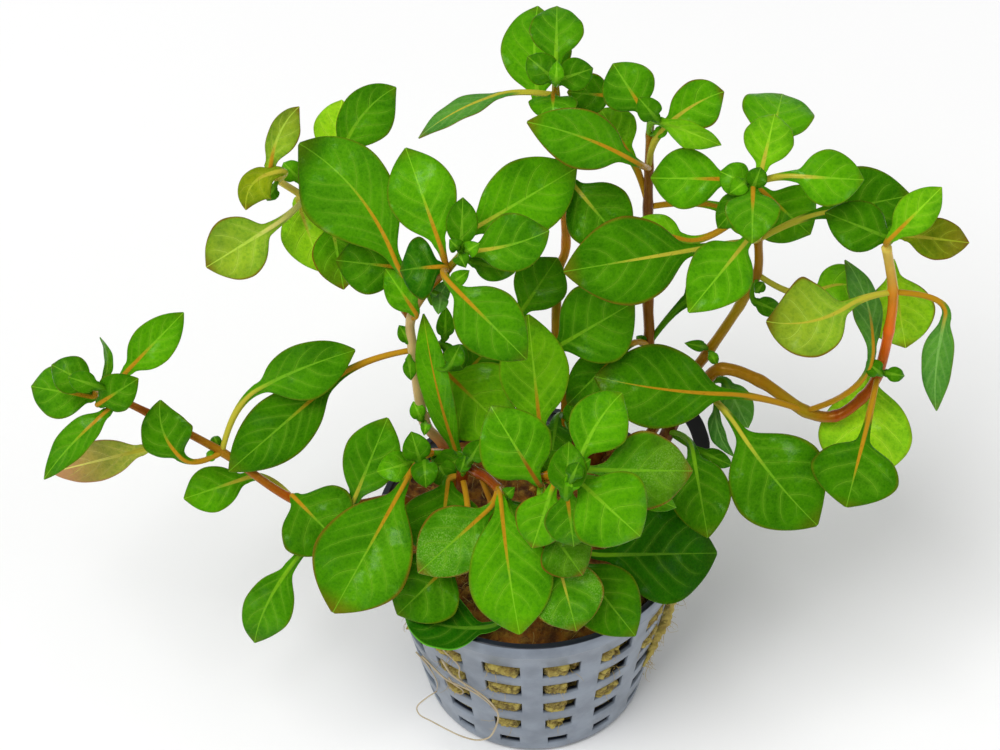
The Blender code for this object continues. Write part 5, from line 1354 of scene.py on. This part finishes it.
tuft = finish_piece("wool_tuft", tuft_mesh(), wool_finish, "rockwool")
print("tuft", len(tuft.data.vertices), "points")

# %% Fibres
FIBRE_STEPS, FIBRE_RADIUS, FIBRE_END, FIBRE_BEND = 7, 0.055 * MM, 0.33, 0.35
FIBRE_TONES = (0.34, 0.20, 0.030), (0.66, 0.52, 0.18)
FIBRES_SEED, SIDE_FIBRES, TUFT_FIBRES, CROWN_FIBRES = 21, 420, 150, 260
# Where side fibres start: how full the window is, degrees and mm from its middle, and how deep
FULL_ENOUGH, ASIDE, UPWARDS, INSIDE = 0.3, (-7, 4), (-1.6, 1.6), -0.5
SIDE_SPREAD, SIDE_REACH = 1.0, 1.0 * MM
TUFT_PATH_STEPS, TUFT_SPREAD, TUFT_REACH, TUFT_HANG = 20, 0.3, 0.9, 1.2
CROWN_REACH, CROWN_LIFT, CROWN_SPREAD, CROWN_FLATNESS = 23 * MM, 1.4 * MM, 1.6, (1, 1, 0.15)


def threads(name, starts, ends, bends, radius):
    """Three-sided threads from starts to ends, pushed aside as a parabola by the bends and
    thinned to a third. The two directions of a section are square to the way from start to end."""
    t = np.linspace(0, 1, FIBRE_STEPS)[None, :, None]
    path = starts[:, None] * (1 - t) + ends[:, None] * t + 4 * t * (1 - t) * bends[:, None]
    ahead = unit(ends - starts)
    right = unit(np.cross(ahead, bends))
    above = np.cross(right, ahead)
    turn = 2 * np.pi * np.arange(3) / 3
    section = np.cos(turn)[:, None] * right[:, None] + np.sin(turn)[:, None] * above[:, None]
    rings = path[:, :, None] + section[:, None] * (radius * (1 - (1 - FIBRE_END) * t))[..., None]
    index = np.arange(rings.shape[0] * FIBRE_STEPS * 3).reshape(-1, FIBRE_STEPS, 3)
    after = np.roll(index, -1, axis=2)
    quads = np.stack((index[:, :-1], after[:, :-1], after[:, 1:], index[:, 1:]), axis=-1).reshape(-1, 4)
    caps = np.concatenate((index[:, 0, ::-1], index[:, -1]))
    mesh = bpy.data.meshes.new(name)
    mesh.from_pydata(rings.reshape(-1, 3).tolist(), [], quads.tolist() + caps.tolist())
    mesh.shade_smooth()
    return mesh


chance = np.random.default_rng(FIBRES_SEED)
full_rows, full_columns = np.nonzero(window_fills() > FULL_ENOUGH)
picked = chance.integers(0, len(full_rows), SIDE_FIBRES)
window_middles = np.array([row[0] for row in WINDOW_ROWS])[full_rows[picked]]
window_angles = np.degrees(FIRST_COLUMN + COLUMN_PITCH * full_columns[picked])
side_starts = on_wall(window_angles + chance.uniform(*ASIDE, SIDE_FIBRES),
                      window_middles + chance.uniform(*UPWARDS, SIDE_FIBRES), INSIDE)
side_ends = (side_starts + chance.normal(0, SIDE_SPREAD, side_starts.shape) * MM
             + unit(side_starts * (1, 1, 0)) * SIDE_REACH)
tuft_path = wall_path(TUFT, TUFT_PATH_STEPS)
tuft_starts = tuft_path[chance.integers(0, len(tuft_path), TUFT_FIBRES)]
tuft_starts = tuft_starts + chance.normal(0, TUFT_SPREAD, tuft_starts.shape) * MM
tuft_ends = (tuft_starts + chance.normal(0, TUFT_REACH, tuft_starts.shape) * MM
             - np.array((0, 0, TUFT_HANG)) * MM)
crown_angle = chance.uniform(0, 2 * np.pi, CROWN_FIBRES)
crown_starts = turned(CROWN_REACH * np.sqrt(chance.random(CROWN_FIBRES)), crown_angle, WOOL_TOP + CROWN_LIFT)
crown_ends = crown_starts + chance.normal(0, CROWN_SPREAD, crown_starts.shape) * CROWN_FLATNESS * MM
fibre_starts = np.vstack((side_starts, tuft_starts, crown_starts))
fibre_ends = np.vstack((side_ends, tuft_ends, crown_ends))
fibre_bends = chance.normal(0, FIBRE_BEND, fibre_starts.shape) * MM
fibre_finish = Finish("wool_fibre", roughness=0.7)
fibre_finish.give("Base Color", fibre_finish.blend(fibre_finish.noise(grain=2 * MM), *FIBRE_TONES))
loose = threads("wool_fibres", fibre_starts, fibre_ends, fibre_bends, FIBRE_RADIUS)
finish_piece("wool_fibres", loose, fibre_finish, "rockwool")
print(len(fibre_starts), "fibres with", len(loose.vertices), "points")

# %% [markdown]
# ## Strip and roots
# A black plastic strip stands in the wool behind the leaves, and one root has found its way
# out of the pot and back; a few finer ones cling to the wall where it leaves. The strip is a
# flat section carried along its path, a root a thin tube that thins towards its end.

# %% Strip
STRIP_WIDTH, STRIP_THICKNESS = 2.8 * MM, 0.8 * MM
STRIP_STEPS, STRIP_SIDES, STRIP_SQUARENESS = 10, 20, 0.35
STRIP_TONES = (0.003, 0.003, 0.005), (0.007, 0.008, 0.011)
STRIP_POINTS = ((650, 543, -8.5), (657, 517, -3.5), (684, 484, 1), (701, 452, -3), (698, 430, -6),
                (687, 412, -9), (672, 400, -12))


def sighted_path(points, steps):
    """A smooth path through sighted points."""
    return spline([sighted(*point) for point in points], steps)


def strip_mesh():
    """A flat rounded section, carried along its path with its broad side to the eye. Across and
    up are a cosine and a sine to a low power, which squares the circle."""
    path = sighted_path(STRIP_POINTS, STRIP_STEPS)
    right = unit(np.cross(unit(np.gradient(path, axis=0)), EYE_BACK))
    faces = np.cross(right, unit(np.gradient(path, axis=0)))
    angle = 2 * np.pi * np.arange(STRIP_SIDES) / STRIP_SIDES
    across, up = (np.sign(wave) * abs(wave)**STRIP_SQUARENESS / 2 for wave in (-np.cos(angle), np.sin(angle)))
    return skin("black_strip", path[:, None] + right[:, None] * (across * STRIP_WIDTH)[None, :, None]
                + faces[:, None] * (up * STRIP_THICKNESS)[None, :, None])


strip_finish = Finish("black_plastic", roughness=0.50)
strip_finish.give("Base Color", strip_finish.blend(strip_finish.noise(grain=2 * MM), *STRIP_TONES))
strip_finish.give("Specular IOR Level", 0.30)
strip = finish_piece("black_strip_band", strip_mesh(), strip_finish, "strip", "black_strip")
print("strip", len(strip.data.vertices), "points")

# %% Roots
ROOT_STEPS, ROOT_SIDES, ROOT_RADII = 6, 8, (0.11, 0.19)
ROOT_TONES = (0.33, 0.24, 0.12), (0.62, 0.54, 0.38)
ROOT_POINTS = ((437, 691, -9.3), (425, 699, -9), (417, 707, -9), (420, 715, -9), (431, 721, -8.5),
               (446, 729, -8), (461, 736, -7.5), (476, 740, -7.5), (488, 738, -7), (494, 731, -6),
               (498, 720, -3.2), (497, 711, -1.2), (488, 700, 0.2), (475, 690, 1.2), (462, 682, 1.8),
               (451, 674, 2.6), (442, 660, 4.8))
# Thin roots that cling to the wall beside it: their places on the wall, and their radius (mm)
WALL_ROOTS = (
    (((-60, 20.5, 0.9), (-54.4, 18.2, 0.4), (-51.3, 14.5, 0.3), (-55, 9.5, 0.3)), 0.15),
    (((-57.5, 20, 0.4), (-43, 19.7, 0.5), (-34, 20.4, 0.5), (-27.6, 20.3, 0.5), (-22.1, 18, 0.4),
      (-18.7, 14.6, 0.2)), 0.21),
    (((-40.1, 20.9, 0.4), (-37.3, 19.9, 0.6), (-33.4, 19.1, 0.5), (-34.5, 17.2, 0.4), (-37.7, 16.4, 0.4),
      (-41.9, 17.3, 0.4), (-42.5, 19.2, 0.4)), 0.14),
    (((-40, 33, 0.3), (-37.1, 31.3, 0.5), (-32.1, 28.3, 0.4), (-33, 24.5, 0.5), (-30.3, 21, 0.5),
      (-25, 20, 0.4)), 0.17),
)


def root_mesh(name, path, first_radius, last_radius):
    """A round tube whose radius (mm) changes evenly."""
    return skin(name, round_rings(path, np.linspace(first_radius, last_radius, len(path)) * MM, ROOT_SIDES))


root_finish = Finish("root_skin", roughness=0.6)
root_finish.give("Base Color", root_finish.blend(root_finish.noise(grain=3 * MM), *ROOT_TONES))
loose_root = root_mesh("loose_root", sighted_path(ROOT_POINTS, ROOT_STEPS), *ROOT_RADII)
finish_piece("loose_root_thread", loose_root, root_finish, "root", "loose_root")
wall_roots = [root_mesh("wall_root", wall_path(places, ROOT_STEPS), radius, radius / 2)
              for places, radius in WALL_ROOTS]
finish_piece("wall_roots", merged("wall_roots", wall_roots), root_finish, "root")
print(len(WALL_ROOTS), "roots on the wall")

# %% [markdown]
